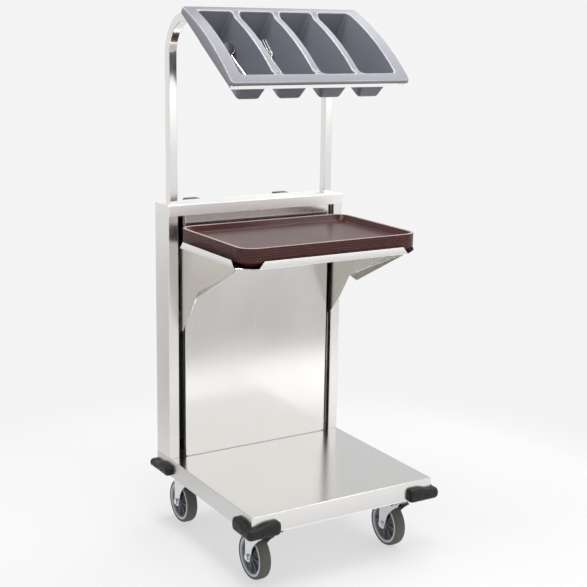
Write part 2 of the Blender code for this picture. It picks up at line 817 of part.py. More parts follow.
def arm_height(up_slope):
    """Height of the arm's centre line, which keeps it just under the bin's side rim."""
    return arch_at(up_slope) - bin_wall - fit_gap - tube_size / 2 / math.cos(arch_lean(up_slope))


def arm_centre(up_slope):
    y, z = bin_point(0, up_slope, arm_height(up_slope))[1:]
    return y, z, bin_tilt - arch_lean(up_slope)


def arm_path():
    """Centre line of a post and its arm as (y, z, forward fall angle)."""
    post_y = post_setback + tube_size / 2
    blend_y, blend_z, fall = arm_centre(arm_blend_place)
    bend_radius = (post_y - blend_y) / (1 + math.sin(fall))
    bend_start = blend_z - bend_radius * math.cos(fall)
    path = [(post_y, post_foot_height, -math.pi / 2)]
    for step in range(bend_segments + 1):
        angle = -math.pi / 2 + (math.pi / 2 + fall) * step / bend_segments
        path.append((post_y - bend_radius - bend_radius * math.sin(angle),
                     bend_start + bend_radius * math.cos(angle), angle))
    strip_back = front_strip_place + strip_bar_thickness
    above_centre = -front_strip_top_drop - arm_height(strip_back)
    last_place = strip_back + fit_gap + above_centre * math.tan(-arch_lean(strip_back))
    for step in range(1, arm_segments + 1):
        share = step / arm_segments
        path.append(arm_centre(arm_blend_place + (last_place - arm_blend_place) * share))
    return path


def tube_ring():
    """Rounded square section as (across, outward) offsets."""
    half = tube_size / 2
    inner = half - tube_corner_radius
    ring = []
    for corner_x, corner_y, start in ((1, 1, 0), (-1, 1, 90), (-1, -1, 180), (1, -1, 270)):
        for step in range(tube_corner_segments + 1):
            angle = math.radians(start + 90 * step / tube_corner_segments)
            ring.append((corner_x * inner + tube_corner_radius * math.cos(angle),
                         corner_y * inner + tube_corner_radius * math.sin(angle)))
    return ring


def build_post(name, side):
    ring = tube_ring()
    size = len(ring)
    middle = side * (half_width - post_inset - tube_size / 2)
    points = []
    path = arm_path()
    for y, z, fall in path:
        out_y, out_z = -math.sin(fall), math.cos(fall)
        points += [(middle + a, y + out_y * b, z + out_z * b) for a, b in ring]
    post = add(name, mesh_of(name, points, loft_faces(size, len(path), capped=False)), STEEL)
    side_face = max(post.data.polygons, key=lambda face: face.center.x)
    solidify(post, tube_wall, -1.0 if side_face.normal.x > 0 else 1.0)


def bin_box(name, low, high, finish):
    """A box drawn square to the bin's tilted frame."""
    points = [bin_point(*corner) for corner in box_points(low, high)]
    return add(name, mesh_of(name, points, BOX_FACES), finish)


def build_frame():
    build_post("post_left", -1)
    build_post("post_right", 1)
    front = front_strip_place
    reach = half_width - post_inset
    bin_box("frame_front_strip", (-reach, front, -front_strip_top_drop - front_strip_height),
            (reach, front + strip_bar_thickness, -front_strip_top_drop), STEEL)
    inner = half_width - post_inset - tube_size - fit_gap
    bin_box("frame_rear_strip", (-inner, rear_strip_place, -rear_strip_top_drop - rear_strip_height),
            (inner, rear_strip_place + strip_bar_thickness, -rear_strip_top_drop), STEEL)
    for side, hand in ((-1, "left"), (1, "right")):
        outer = half_width - post_inset
        x_low, x_high = sorted((side * outer, side * (outer - tube_size)))
        foot = post_foot_height + fit_gap
        box(f"post_mount_{hand}", (x_low, post_setback + tube_size + fit_gap, foot),
            (x_high, tower_inner_back, foot + post_mount_height), STEEL)


# Cutlery bin: rim, four tapering pockets and a skirt, drawn as one skin
def bin_across():
    """Lines across the bin: the outer edge, then each pocket's mouth, wall foot and floor."""
    pitch = (2 * bin_pocket_half_span + bin_divider) / 4
    foot = bin_side_draft * (bin_pocket_depth - bin_bottom_rounding) / bin_pocket_depth
    lines = [(-bin_width / 2, "rim")]
    for pocket in range(4):
        left = -bin_pocket_half_span + pocket * pitch
        right = left + pitch - bin_divider
        floor_inset = bin_side_draft + bin_bottom_rounding
        lines += [(left, "mouth"), (left + foot, "foot"), (left + floor_inset, "floor"),
                  (right - floor_inset, "floor"), (right - foot, "foot"), (right, "mouth")]
    lines.append((bin_width / 2, "rim"))
    return lines


def bin_along():
    """Lines up the slope: front edge, mouth, wall foot and floor, the arch, and the same at the rear."""
    front = -bin_length / 2 + bin_front_rim
    rear = bin_length / 2 - bin_rear_rim
    foot_share = (bin_pocket_depth - bin_bottom_rounding) / bin_pocket_depth
    first = front + bin_front_draft + bin_bottom_rounding
    last = rear - bin_rear_draft - bin_bottom_rounding
    lines = [(-bin_length / 2, "rim"), (front, "mouth"), (front + bin_front_draft * foot_share, "foot")]
    for step in range(bin_arch_segments + 1):
        lines.append((first + (last - first) * step / bin_arch_segments, "floor"))
    lines += [(rear - bin_rear_draft * foot_share, "foot"), (rear, "mouth"), (bin_length / 2, "rim")]
    return lines


def bin_height(across_kind, up_slope, up_kind, between_pockets):
    """Height of the bin's skin above the rim's chord plane."""
    kinds = (across_kind, up_kind)
    if kinds == ("floor", "floor"):
        return -bin_pocket_depth
    if "rim" not in kinds and "mouth" not in kinds:
        return -bin_pocket_depth + bin_bottom_rounding
    height = arch_at(up_slope)
    if between_pockets and up_kind in ("foot", "floor"):
        height -= bin_divider_drop
    return height


def split_at_odd_corner(corners, heights):
    """Two triangles where one corner of the square stands apart in height, else the square."""
    middle = (min(heights) + max(heights)) / 2
    low = [i for i, height in enumerate(heights) if height < middle]
    if len(low) not in (1, 3):
        return [corners]
    odd = low[0] if len(low) == 1 else ({0, 1, 2, 3} - set(low)).pop()
    a, b, c, d = corners[odd:] + corners[:odd]
    return [(a, b, d), (b, c, d)]


def build_bin():
    across, along = bin_across(), bin_along()
    columns, rows = len(across), len(along)
    local = []
    for v, v_kind in along:
        for u, u_kind in across:
            between_pockets = abs(u) < bin_pocket_half_span - fit_gap
            local.append((u, v, bin_height(u_kind, v, v_kind, between_pockets)))
    faces = []
    for row in range(rows - 1):
        for column in range(columns - 1):
            a = row * columns + column
            corners = (a, a + 1, a + 1 + columns, a + columns)
            faces += split_at_odd_corner(corners, [local[i][2] for i in corners])
    border = list(range(columns))
    border += [row * columns + columns - 1 for row in range(1, rows)]
    border += [(rows - 1) * columns + i for i in range(columns - 2, -1, -1)]
    border += [row * columns for row in range(rows - 2, 0, -1)]
    first = len(local)
    for i in border:
        u, v, w = local[i]
        on_side = abs(u) == bin_width / 2 and abs(v) < bin_length / 2
        local.append((u, v, -bin_side_skirt if on_side else -bin_end_skirt))
    count = len(border)
    for i in range(count):
        j = (i + 1) % count
        faces.append((border[i], border[j], first + j, first + i))
    origin = bin_point(0, 0, 0)
    mesh = mesh_of("cutlery_bin", [bin_point(*point) for point in local], faces, origin)
    bin_object = add("cutlery_bin", mesh, GREY_PLASTIC, origin)
    rim = max(mesh.polygons, key=lambda face: face.center.z)
    solidify(bin_object, bin_wall, -1.0 if rim.normal.z > 0 else 1.0)


# Trays, nested on the platform
def rounded_ring(inset, z):
    """Rounded rectangle of the tray's outline moved in by inset, at height z."""
    half_x, half_y = tray_width / 2 - inset, tray_depth / 2 - inset
    radius = max(tray_corner_radius - inset, tray_corner_radius / 3)
    ring = []
    for corner_x, corner_y, start in ((1, 1, 0), (-1, 1, 90), (-1, -1, 180), (1, -1, 270)):
        for step in range(corner_segments + 1):
            angle = math.radians(start + 90 * step / corner_segments)
            ring.append((corner_x * (half_x - radius) + radius * math.cos(angle),
                         corner_y * (half_y - radius) + radius * math.sin(angle), z))
    return ring


def tray_mesh():
    """One tray about the middle of its underside: lip, rim, sloping wall and floor."""
    lip_low = tray_height - tray_pitch + fit_gap
    slope = math.atan2(tray_wall_run, tray_height - tray_wall)
    drop_step = tray_wall * math.tan(slope / 2)
    wall_top = tray_rim_width
    wall_foot = tray_rim_width + tray_wall_run
    top = tray_height
    rings = [(wall_foot + tray_floor_fillet, tray_wall), (wall_foot, tray_wall + tray_floor_fillet / 4),
             (wall_top, top), (tray_edge_round, top), (0, top - tray_edge_round), (0, lip_low),
             (tray_wall, lip_low), (tray_wall, top - tray_wall),
             (wall_top - tray_wall * math.tan(math.pi / 4 - slope / 2), top - tray_wall),
             (wall_foot - drop_step, tray_floor_fillet / 4), (wall_foot + tray_floor_fillet, 0)]
    points = []
    for inset, z in rings:
        points += rounded_ring(inset, z)
    return mesh_of("tray", points, loft_faces(4 * (corner_segments + 1), len(rings)))


def build_trays():
    mesh = tray_mesh()
    for number in range(tray_count):
        height = platform_floor_top + fit_gap + number * tray_pitch
        add(f"tray_{number + 1}", mesh.copy(), TRAY_BROWN, (0, platform_middle_y, height))


build_deck()
build_castor_channel("castor_channel_front", castor_front_y)
build_castor_channel("castor_channel_rear", castor_rear_y)
build_tower()
build_beams()
build_rails()
build_handle()
build_bumpers()
build_castors()
build_carriage()
build_springs()
build_frame()
build_bin()
build_trays()
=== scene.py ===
# %% [markdown]
# # A cutlery and tray trolley in stainless steel
#
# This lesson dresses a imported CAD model, so that it looks like the real trolley: folded steel
# sheet, a moulded cutlery bin, a stack of brown trays, four rubber-tyred castors and soft corner
# bumpers. The CAD solids give the places and the outer sizes. Most new pieces stand for one of
# them and ride on the same moving body. All are made with Blender's own modelling operators.

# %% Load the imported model
import math

import bmesh
import bpy
from bmesh.types import BMEdge, BMFace, BMVert
from mathutils import Matrix, Vector
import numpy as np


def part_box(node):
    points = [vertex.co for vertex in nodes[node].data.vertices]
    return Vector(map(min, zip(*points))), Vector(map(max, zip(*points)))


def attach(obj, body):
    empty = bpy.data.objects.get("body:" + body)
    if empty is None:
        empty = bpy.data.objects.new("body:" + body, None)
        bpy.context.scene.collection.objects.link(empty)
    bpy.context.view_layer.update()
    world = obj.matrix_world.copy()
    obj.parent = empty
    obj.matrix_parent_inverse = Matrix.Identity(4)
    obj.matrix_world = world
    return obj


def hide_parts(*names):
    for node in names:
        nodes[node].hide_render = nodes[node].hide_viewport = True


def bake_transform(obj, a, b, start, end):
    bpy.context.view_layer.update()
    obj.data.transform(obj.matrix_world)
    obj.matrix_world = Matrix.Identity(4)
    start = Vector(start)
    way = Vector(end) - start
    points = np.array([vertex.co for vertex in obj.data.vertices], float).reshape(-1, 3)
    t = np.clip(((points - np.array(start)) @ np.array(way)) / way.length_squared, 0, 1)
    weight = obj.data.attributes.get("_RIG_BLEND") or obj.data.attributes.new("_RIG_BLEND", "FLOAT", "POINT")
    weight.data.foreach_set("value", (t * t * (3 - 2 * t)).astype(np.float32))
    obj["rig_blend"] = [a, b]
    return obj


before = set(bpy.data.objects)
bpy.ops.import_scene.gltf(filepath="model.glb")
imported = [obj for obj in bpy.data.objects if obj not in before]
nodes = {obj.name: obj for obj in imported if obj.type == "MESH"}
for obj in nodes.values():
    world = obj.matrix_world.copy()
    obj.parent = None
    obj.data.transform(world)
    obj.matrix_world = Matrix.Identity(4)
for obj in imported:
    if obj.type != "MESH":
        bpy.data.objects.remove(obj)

scene = bpy.context.scene
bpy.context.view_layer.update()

# %% [markdown]
# ## Building materials from nodes
#
# A material is a tree of nodes. Written out one by one, the nodes of a brushed steel would fill a
# page, so small helpers add a node, do a sum, stretch a range and mix two colours. With them a
# material reads from top to bottom like a recipe.


# %% Node helpers
def node(tree, kind, inputs=None, **settings):
    """Add a node, set its properties, and fill or link its inputs."""
    made = tree.nodes.new(kind)
    for key, value in settings.items():
        setattr(made, key, value)
    for key, value in (inputs or {}).items():
        if isinstance(value, bpy.types.NodeSocket):
            tree.links.new(value, made.inputs[key])
        else:
            made.inputs[key].default_value = value
    return made


def maths(tree, operation, first, second=0.0, clamp=False):
    return node(tree, "ShaderNodeMath", {0: first, 1: second}, operation=operation,
                use_clamp=clamp).outputs[0]


def spread(tree, value, low, high, to_low, to_high):
    """Map a value from one range to another."""
    limits = {0: value, 1: low, 2: high, 3: to_low, 4: to_high}
    return node(tree, "ShaderNodeMapRange", limits).outputs[0]


def from_noise(tree, noise, to_low, to_high):
    """Stretch a noise, which mostly lies between 0.3 and 0.7, to a range."""
    return spread(tree, noise, 0.3, 0.7, to_low, to_high)


def blend_colour(tree, factor, first, second):
    return node(tree, "ShaderNodeMix", {0: factor, 6: first, 7: second},
                data_type="RGBA").outputs[2]


# %% [markdown]
# ## Effects that several materials share
#
# Brushed sheet, worn edges and fine moulding grain appear in many finishes, so each is one node
# group with named inputs, built once. The groups give out values only. The Principled shader and
# the colours stay in each material, where they are easy to find and change.


# %% Start a node group
def new_group(name, inputs, outputs):
    """A group with named sockets, each input given as a label, a kind and a first value."""
    group = bpy.data.node_groups.new(name, "ShaderNodeTree")
    for label, kind, value in inputs:
        socket = group.interface.new_socket(label, in_out="INPUT", socket_type=kind)
        socket.default_value = value
    for label in outputs:
        group.interface.new_socket(label, in_out="OUTPUT", socket_type="NodeSocketFloat")
    return group, group.nodes.new("NodeGroupInput"), group.nodes.new("NodeGroupOutput")


def use_group(tree, group, inputs):
    return node(tree, "ShaderNodeGroup", inputs, node_tree=group)


# %% Brushed grain: long fine lines, and slow clouds across a sheet
def make_brushed_grain():
    group, given, out = new_group(
        "brushed grain",
        [("Stretch", "NodeSocketVector", (1, 60, 60)), ("Fineness", "NodeSocketFloat", 30.0)],
        ["Grain", "Cloud"])
    place = node(group, "ShaderNodeTexCoord").outputs["Object"]
    drawn = node(group, "ShaderNodeMapping", {"Vector": place, "Scale": given.outputs["Stretch"]})
    lines = node(group, "ShaderNodeTexNoise",
                 {"Vector": drawn.outputs[0], "Scale": given.outputs["Fineness"], "Detail": 5.0,
                  "Roughness": 0.65})
    cloud = node(group, "ShaderNodeTexNoise", {"Vector": place, "Scale": 5.0, "Detail": 2.0})
    group.links.new(lines.outputs[0], out.inputs["Grain"])
    group.links.new(cloud.outputs[0], out.inputs["Cloud"])
    return group


brushed_grain = make_brushed_grain()
print(brushed_grain.name, "has", len(brushed_grain.nodes), "nodes")


# %% Edge wear: where a rounded normal leaves the face's own
def make_edge_wear():
    group, given, out = new_group(
        "edge wear",
        [("Width", "NodeSocketFloat", 0.0015), ("Amount", "NodeSocketFloat", 1.0)],
        ["Mask"])
    rounded = node(group, "ShaderNodeBevel", {"Radius": given.outputs["Width"]}, samples=4)
    surface = node(group, "ShaderNodeNewGeometry").outputs["Normal"]
    same = node(group, "ShaderNodeVectorMath", {0: rounded.outputs[0], 1: surface},
                operation="DOT_PRODUCT").outputs["Value"]
    edge = spread(group, same, 0.995, 0.90, 0.0, 1.0)
    place = node(group, "ShaderNodeTexCoord").outputs["Object"]
    broken = node(group, "ShaderNodeTexNoise", {"Vector": place, "Scale": 60.0, "Detail": 3.0})
    patches = spread(group, broken.outputs[0], 0.35, 0.65, 0.2, 1.0)
    mask = maths(group, "MULTIPLY", edge, patches)
    scaled = maths(group, "MULTIPLY", mask, given.outputs["Amount"], clamp=True)
    group.links.new(scaled, out.inputs["Mask"])
    return group


edge_wear = make_edge_wear()
print(edge_wear.name, "has", len(edge_wear.nodes), "nodes")


# %% Moulding grain: fine even pits, and faint smudges from hands
def make_moulding_grain():
    group, given, out = new_group(
        "moulding grain",
        [("Fineness", "NodeSocketFloat", 900.0), ("Smudge size", "NodeSocketFloat", 9.0)],
        ["Pits", "Smudge"])
    place = node(group, "ShaderNodeTexCoord").outputs["Object"]
    pits = node(group, "ShaderNodeTexNoise",
                {"Vector": place, "Scale": given.outputs["Fineness"], "Detail": 2.0})
    smudge = node(group, "ShaderNodeTexNoise",
                  {"Vector": place, "Scale": given.outputs["Smudge size"], "Detail": 4.0,
                   "Distortion": 0.1})
    group.links.new(pits.outputs[0], out.inputs["Pits"])
    group.links.new(smudge.outputs[0], out.inputs["Smudge"])
    return group


moulding_grain = make_moulding_grain()
print(moulding_grain.name, "has", len(moulding_grain.nodes), "nodes")

# %% [markdown]
# ## Brushed steel and plating
#
# Stainless sheet carries a grain from its brushing, and the grain streaks the reflections across
# it. So the noise is stretched, and there is one steel for upright pieces and one for pieces that
# lie across the trolley. The grain changes the roughness and a shallow bump. Edges are a little
# brighter, where hands and cloths polish them. Zinc plate has no direction, so its noise is even.


# %% Start a material
def new_finish(name, metallic=0.0):
    made = bpy.data.materials.new(name)
    made.use_nodes = True
    shader = made.node_tree.nodes["Principled BSDF"]
    shader.inputs["Metallic"].default_value = metallic
    return made, made.node_tree, shader


def bump(tree, shader, height, strength, distance):
    raised = node(tree, "ShaderNodeBump",
                  {"Height": height, "Strength": strength, "Distance": distance})
    tree.links.new(raised.outputs[0], shader.inputs["Normal"])


# %% Brushed metal
POLISHED_EDGE = (0.86, 0.85, 0.83, 1)
POLISH = {"Width": 0.0012, "Amount": 0.8}
BRUSH_DEPTH = 0.00002


def brushed_metal(name, stretch, dark, light, smoothest, roughest):
    """Metal between two tones and two roughnesses, its noise stretched by a number per axis."""
    made, tree, shader = new_finish(name, metallic=1.0)
    grain = use_group(tree, brushed_grain, {"Stretch": stretch, "Fineness": 30.0})
    wear = use_group(tree, edge_wear, POLISH)
    streak = from_noise(tree, grain.outputs["Grain"], 0.0, 1.0)
    tone = blend_colour(tree, streak, (*dark, 1), (*light, 1))
    with_pale_edges = blend_colour(tree, wear.outputs["Mask"], tone, POLISHED_EDGE)
    tree.links.new(with_pale_edges, shader.inputs["Base Color"])
    lines = spread(tree, grain.outputs["Grain"], 0.25, 0.75, smoothest, roughest)
    clouds = from_noise(tree, grain.outputs["Cloud"], -0.03, 0.03)
    tree.links.new(maths(tree, "ADD", lines, clouds), shader.inputs["Roughness"])
    bump(tree, shader, grain.outputs["Grain"], 0.35, BRUSH_DEPTH)
    return made


# %% Steels of the sheet pieces
UPWARDS = (60, 60, 1)
ACROSS = (1, 60, 60)

steel_upright = brushed_metal("steel brushed upright", UPWARDS,
                              (0.770, 0.758, 0.742), (0.810, 0.802, 0.790), 0.13, 0.20)
steel_across = brushed_metal("steel brushed across", ACROSS,
                             (0.780, 0.770, 0.757), (0.820, 0.812, 0.802), 0.14, 0.21)
steel_housing = brushed_metal("steel housing", UPWARDS,
                              (0.760, 0.748, 0.732), (0.800, 0.792, 0.780), 0.26, 0.36)
# The deck, cap and gussets are the same stainless in other tones. The deck's darker tone is painted shade,
# the cap's lighter tone is painted light, and the gussets' darker warm tone is painted shade with a painted
# brown reflection.
steel_deck_painted_shade = brushed_metal("steel deck with painted shade", ACROSS,
                           (0.585, 0.580, 0.572), (0.635, 0.630, 0.622), 0.17, 0.26)
steel_cap_painted_light = brushed_metal("steel cap with painted light", ACROSS,
                          (0.840, 0.832, 0.822), (0.880, 0.873, 0.865), 0.46, 0.56)
steel_gusset_painted_reflection = brushed_metal("steel gusset with painted shade and reflection", UPWARDS,
                             (0.680, 0.648, 0.610), (0.730, 0.700, 0.665), 0.20, 0.30)
print(len(bpy.data.materials), "materials with the sheet steels")

# %% Tube, plating, springs and cutlery
steel_tube = brushed_metal("steel tube", (80, 80, 2),
                           (0.76, 0.75, 0.735), (0.82, 0.812, 0.80), 0.10, 0.17)
zinc_plate = brushed_metal("zinc plating", (8, 8, 8),
                           (0.62, 0.63, 0.65), (0.78, 0.79, 0.80), 0.22, 0.36)
# Painted shade: the castor plates' zinc is made nearly black, for the shade under the deck.
zinc_with_painted_shade = brushed_metal("zinc with painted shade", (8, 8, 8),
                          (0.10, 0.10, 0.105), (0.15, 0.15, 0.155), 0.48, 0.60)
spring_wire = brushed_metal("spring wire", (20, 20, 20),
                            (0.30, 0.30, 0.31), (0.42, 0.42, 0.43), 0.25, 0.40)
bright_steel = brushed_metal("polished cutlery steel", (40, 10, 10),
                             (0.56, 0.56, 0.57), (0.66, 0.66, 0.67), 0.12, 0.20)
print(len(bpy.data.materials), "materials with all metals")

# %% [markdown]
# ## Moulded plastic and rubber
#
# Injection-moulded pieces come out of the tool with an even grain of tiny pits, then pick up
# smudges and pale scuffs along their edges. The pits are a fine noise that feeds only the bump,
# and a slow noise moves the tone and the roughness a little from place to place.


# %% Moulded finish
PIT_FINENESS = 900.0
SCUFF = {"Width": 0.0015, "Amount": 0.6}


def moulded(name, dark, light, scuffed, smoothest, roughest, pit_depth, fineness=PIT_FINENESS):
    """Plastic or rubber between two tones and two roughnesses, scuffed paler at its edges."""
    made, tree, shader = new_finish(name)
    grain = use_group(tree, moulding_grain, {"Fineness": fineness})
    wear = use_group(tree, edge_wear, SCUFF)
    smudge = grain.outputs["Smudge"]
    tone = blend_colour(tree, from_noise(tree, smudge, 0.0, 1.0), (*dark, 1), (*light, 1))
    with_pale_edges = blend_colour(tree, wear.outputs["Mask"], tone, (*scuffed, 1))
    tree.links.new(with_pale_edges, shader.inputs["Base Color"])
    tree.links.new(from_noise(tree, smudge, smoothest, roughest), shader.inputs["Roughness"])
    bump(tree, shader, grain.outputs["Pits"], 0.5, pit_depth)
    return made


# %% Plastics and rubbers
bumper_rubber = moulded("bumper rubber", (0.0045, 0.0040, 0.0036), (0.008, 0.0072, 0.0065),
                        (0.024, 0.019, 0.016), 0.40, 0.52, 0.0001)
bumper_shader = bumper_rubber.node_tree.nodes["Principled BSDF"]
bumper_shader.inputs["Specular IOR Level"].default_value = 0.32
bracket_plastic = moulded("bracket plastic", (0.012, 0.012, 0.012), (0.02, 0.02, 0.02),
                          (0.06, 0.06, 0.06), 0.35, 0.50, 0.0001)
tyre_rubber = moulded("tyre rubber", (0.062, 0.062, 0.056), (0.090, 0.089, 0.080),
                      (0.12, 0.12, 0.115), 0.60, 0.80, 0.0002, fineness=500.0)
rim_plastic = moulded("wheel rim plastic", (0.40, 0.42, 0.45), (0.48, 0.50, 0.53),
                      (0.65, 0.66, 0.68), 0.35, 0.50, 0.0001)
hub_plastic = moulded("wheel hub plastic", (0.085, 0.09, 0.105), (0.12, 0.125, 0.145),
                      (0.30, 0.31, 0.34), 0.40, 0.55, 0.0001)
glide_nylon = moulded("glide nylon", (0.66, 0.65, 0.60), (0.76, 0.75, 0.70),
                      (0.80, 0.80, 0.76), 0.40, 0.55, 0.0001)
screw_black = moulded("blackened screw", (0.008, 0.008, 0.008), (0.014, 0.014, 0.014),
                      (0.05, 0.05, 0.05), 0.35, 0.50, 0.00005)
print(len(bpy.data.materials), "materials with the plastics and rubbers")

# %% [markdown]
# ## Bin plastic and tray laminate
#
# The bin's rounded lips and the trays' rims are painted pale along their crests: a painted
# highlight, which also stands for the rubbing where cutlery and other trays slide over them. A mask
# from the shape's edges can't tell a lip from a hollow, so the shapes carry a vertex attribute,
# which is one along the lip, and the material reads it.


# %% Painted lip highlight, which also stands for rubbing
WEAR_AND_HIGHLIGHT = "wear_and_highlight"


def wear_and_highlight_mask(tree, patchy):
    """Where a shape is marked for painted lip highlight and rubbing, made uneven by a noise."""
    marked = node(tree, "ShaderNodeAttribute", attribute_name=WEAR_AND_HIGHLIGHT).outputs["Fac"]
    return maths(tree, "MULTIPLY", marked, patchy)


# %% Bin plastic: smooth blue-grey
def make_bin_plastic():
    made, tree, shader = new_finish("bin plastic")
    grain = use_group(tree, moulding_grain, {"Fineness": PIT_FINENESS})
    smudge = grain.outputs["Smudge"]
    # Painted highlight: the lips are made pale along their crests, which also stands for rubbing.
    lip_wear_and_highlight = wear_and_highlight_mask(tree, from_noise(tree, smudge, 0.7, 1.0))
    tone = blend_colour(tree, from_noise(tree, smudge, 0.0, 1.0),
                        (0.122, 0.125, 0.147, 1), (0.130, 0.133, 0.156, 1))
    # The pale grey on the lips is a painted highlight, with some rubbing.
    with_pale_edges = blend_colour(tree, lip_wear_and_highlight, tone, (0.40, 0.40, 0.42, 1))
    tree.links.new(with_pale_edges, shader.inputs["Base Color"])
    tree.links.new(from_noise(tree, smudge, 0.30, 0.33), shader.inputs["Roughness"])
    bump(tree, shader, grain.outputs["Pits"], 0.5, 0.00004)
    return made


bin_plastic = make_bin_plastic()
print(bin_plastic.name, "has", len(bin_plastic.node_tree.nodes), "nodes")


# %% Tray laminate: dark red-brown, mottled along its fibres
def make_tray_laminate():
    made, tree, shader = new_finish("tray laminate")
    place = node(tree, "ShaderNodeTexCoord").outputs["Object"]
    fibres = node(tree, "ShaderNodeMapping", {"Vector": place, "Scale": (1.0, 9.0, 9.0)})
    mottle = node(tree, "ShaderNodeTexNoise",
                  {"Vector": fibres.outputs[0], "Scale": 55.0, "Detail": 6.0,
                   "Roughness": 0.7}).outputs[0]
    # Painted highlight: the rim's top is made pale, which also stands for rubbing.
    rim = wear_and_highlight_mask(tree, spread(tree, mottle, 0.30, 0.62, 0.55, 1.0))
    tone = blend_colour(tree, spread(tree, mottle, 0.35, 0.65, 0.0, 1.0),
                        (0.038, 0.0090, 0.0080, 1), (0.072, 0.0170, 0.0145, 1))
    # The pale pinkish brown on the rim is a painted highlight, with some rubbing.
    with_pale_edges = blend_colour(tree, rim, tone, (0.42, 0.34, 0.31, 1))
    tree.links.new(with_pale_edges, shader.inputs["Base Color"])
    tree.links.new(from_noise(tree, mottle, 0.26, 0.38), shader.inputs["Roughness"])
    shader.inputs["Specular IOR Level"].default_value = 0.22
    bump(tree, shader, mottle, 0.25, 0.0001)
    return made


tray_laminate = make_tray_laminate()
print(tray_laminate.name, "has", len(tray_laminate.node_tree.nodes), "nodes")

# %% [markdown]
# ## Give the kept CAD nodes their finish
#
# Some CAD solids already have the right shape: the gussets, the guide rails, the beams, the flat
# bars under the bin. They could be drawn again, but nothing would be won. They stay, and only the
# material in their slots changes. The first word of the list that a node's name holds decides.

# %% Finishes by name
finish_of_word = {
    "channel": steel_across, "tyre": tyre_rubber, "wheel": rim_plastic, "castor": zinc_plate,
    "lift_spring": spring_wire, "bumper": bumper_rubber, "handle_bracket": bumper_rubber,
    "glide": glide_nylon, "tray_platform": steel_across, "tray": tray_laminate,
    "cutlery_bin": bin_plastic, "gusset": steel_gusset_painted_reflection, "guide_rail": steel_upright,
    "carriage_plate": steel_upright, "post_mount": steel_upright,
    "tower_housing": steel_upright, "front_panel": steel_upright,
}

for name, solid in nodes.items():
    words = [word for word in finish_of_word if word in name]
    finish = finish_of_word[words[0]] if words else steel_across
    for place in solid.material_slots:
        place.material = finish
print("gussets in", nodes["gusset_left"].material_slots[0].material.name)

# %% [markdown]
# ## Keep a finished shape
#
# A shape is worked on as a bmesh, which is quick to edit, and kept as an object, which carries
# modifiers and a material. Its place is in its mesh, so the object stays at the origin and the
# patterns don't slide. Sheet metal is drawn as a bare skin and Solidify gives it its thickness.
# Bevel softens what is solid, and Weighted Normal keeps large faces flat beside their small bends.


# %% Store a shape, and finish it as a piece of the trolley
def stored(name, shape, finish, sharp_degrees=35):
    """Turn a bmesh into an object, smooth up to an angle and sharp beyond it."""
    mesh = bpy.data.meshes.new(name)
    shape.to_mesh(mesh)
    shape.free()
    mesh.shade_smooth()
    mesh.set_sharp_from_angle(angle=math.radians(sharp_degrees))
    mesh.materials.append(finish)
    made = bpy.data.objects.new(name, mesh)
    scene.collection.objects.link(made)
    print(name, "with", len(mesh.polygons), "faces")
    return made


def piece(name, shape, finish, body, stands_for=(), wall=0, edge=0, sharp_degrees=35):
    """Store a shape that rides on a CAD body, with its wall and its soft edges."""
    made = stored(name, shape, finish, sharp_degrees)
    if wall:
        skin = made.modifiers.new("wall", "SOLIDIFY")
        skin.thickness = wall
        skin.offset = -1
        skin.use_even_offset = True
    if edge:
        softened = made.modifiers.new("edge", "BEVEL")
        softened.width = edge
        softened.segments = 3
        softened.limit_method = "ANGLE"
        softened.angle_limit = math.radians(40)
    if wall or edge:
        flat = made.modifiers.new("flat faces", "WEIGHTED_NORMAL")
        flat.keep_sharp = True
    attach(made, body)
    if stands_for:
        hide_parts(*stands_for)


# %% [markdown]
# ## Deck
#
# The deck is one sheet folded down on four sides, a shallow pan that is open below. It could be a
# block with a hollow, but what the eye reads as sheet is its bends, a few millimetres wide, which
# catch the light. A box without its underside, its edges bevelled into bends, and a wall from
# Solidify is the shortest way to such a pan.

# %% Boxes, folds and rounding
SHEET = 0.0015
FIT = 0.0003
CLEAR_ANGLE = math.radians(20)


def placed_box(shape, low, high):
    """Add a box between two corners."""
    low, high = Vector(low), Vector(high)
    size = Matrix.Diagonal((*(high - low), 1))
    place = Matrix.Translation((low + high) / 2)
    return bmesh.ops.create_cube(shape, size=1, matrix=place @ size)


def folds_of(shape):
    """Edges where two faces meet at a clear angle."""
    shape.normal_update()
    return [edge for edge in shape.edges
            if len(edge.link_faces) == 2 and edge.calc_face_angle() > CLEAR_ANGLE]


def round_off(shape, parts, radius, segments, affect="EDGES"):
    """Round edges, or with affect VERTICES the corners of a flat face."""
    return bmesh.ops.bevel(shape, geom=list(parts), offset=radius, segments=segments,
                           profile=0.5, affect=affect, clamp_overlap=True, material=-1)


# %% Deck pan
DECK_FOLD = 0.0025


def deck_shape():
    shape = bmesh.new()
    placed_box(shape, *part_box("deck_pan"))
    underside = min(shape.faces, key=lambda face: face.calc_center_median().z)
    bmesh.ops.delete(shape, geom=[underside], context="FACES_ONLY")
    round_off(shape, folds_of(shape), DECK_FOLD, 5)
    return shape


piece("deck_skin", deck_shape(), steel_deck_painted_shade, "chassis", ["deck_pan"], wall=SHEET)

# %% [markdown]
# ## Cap
#
# The tower's cap is a smaller pan with a square hole for each post. A Boolean would cut the holes
# and leave long thin faces behind. Straight cuts across the pan give the holes' sides exactly, and
# the faces between the cuts are taken out together with the underside.

# %% Cap with a square hole for each post
TUBE = 0.025
HOLE_GAP = 0.0006
CAP_FOLD = 0.002


def cut_across(shape, place, direction):
    """Divide every face that a plane crosses, and take nothing away."""
    everything = shape.verts[:] + shape.edges[:] + shape.faces[:]
    bmesh.ops.bisect_plane(shape, geom=everything, dist=1e-6, plane_co=place,
                           plane_no=direction)


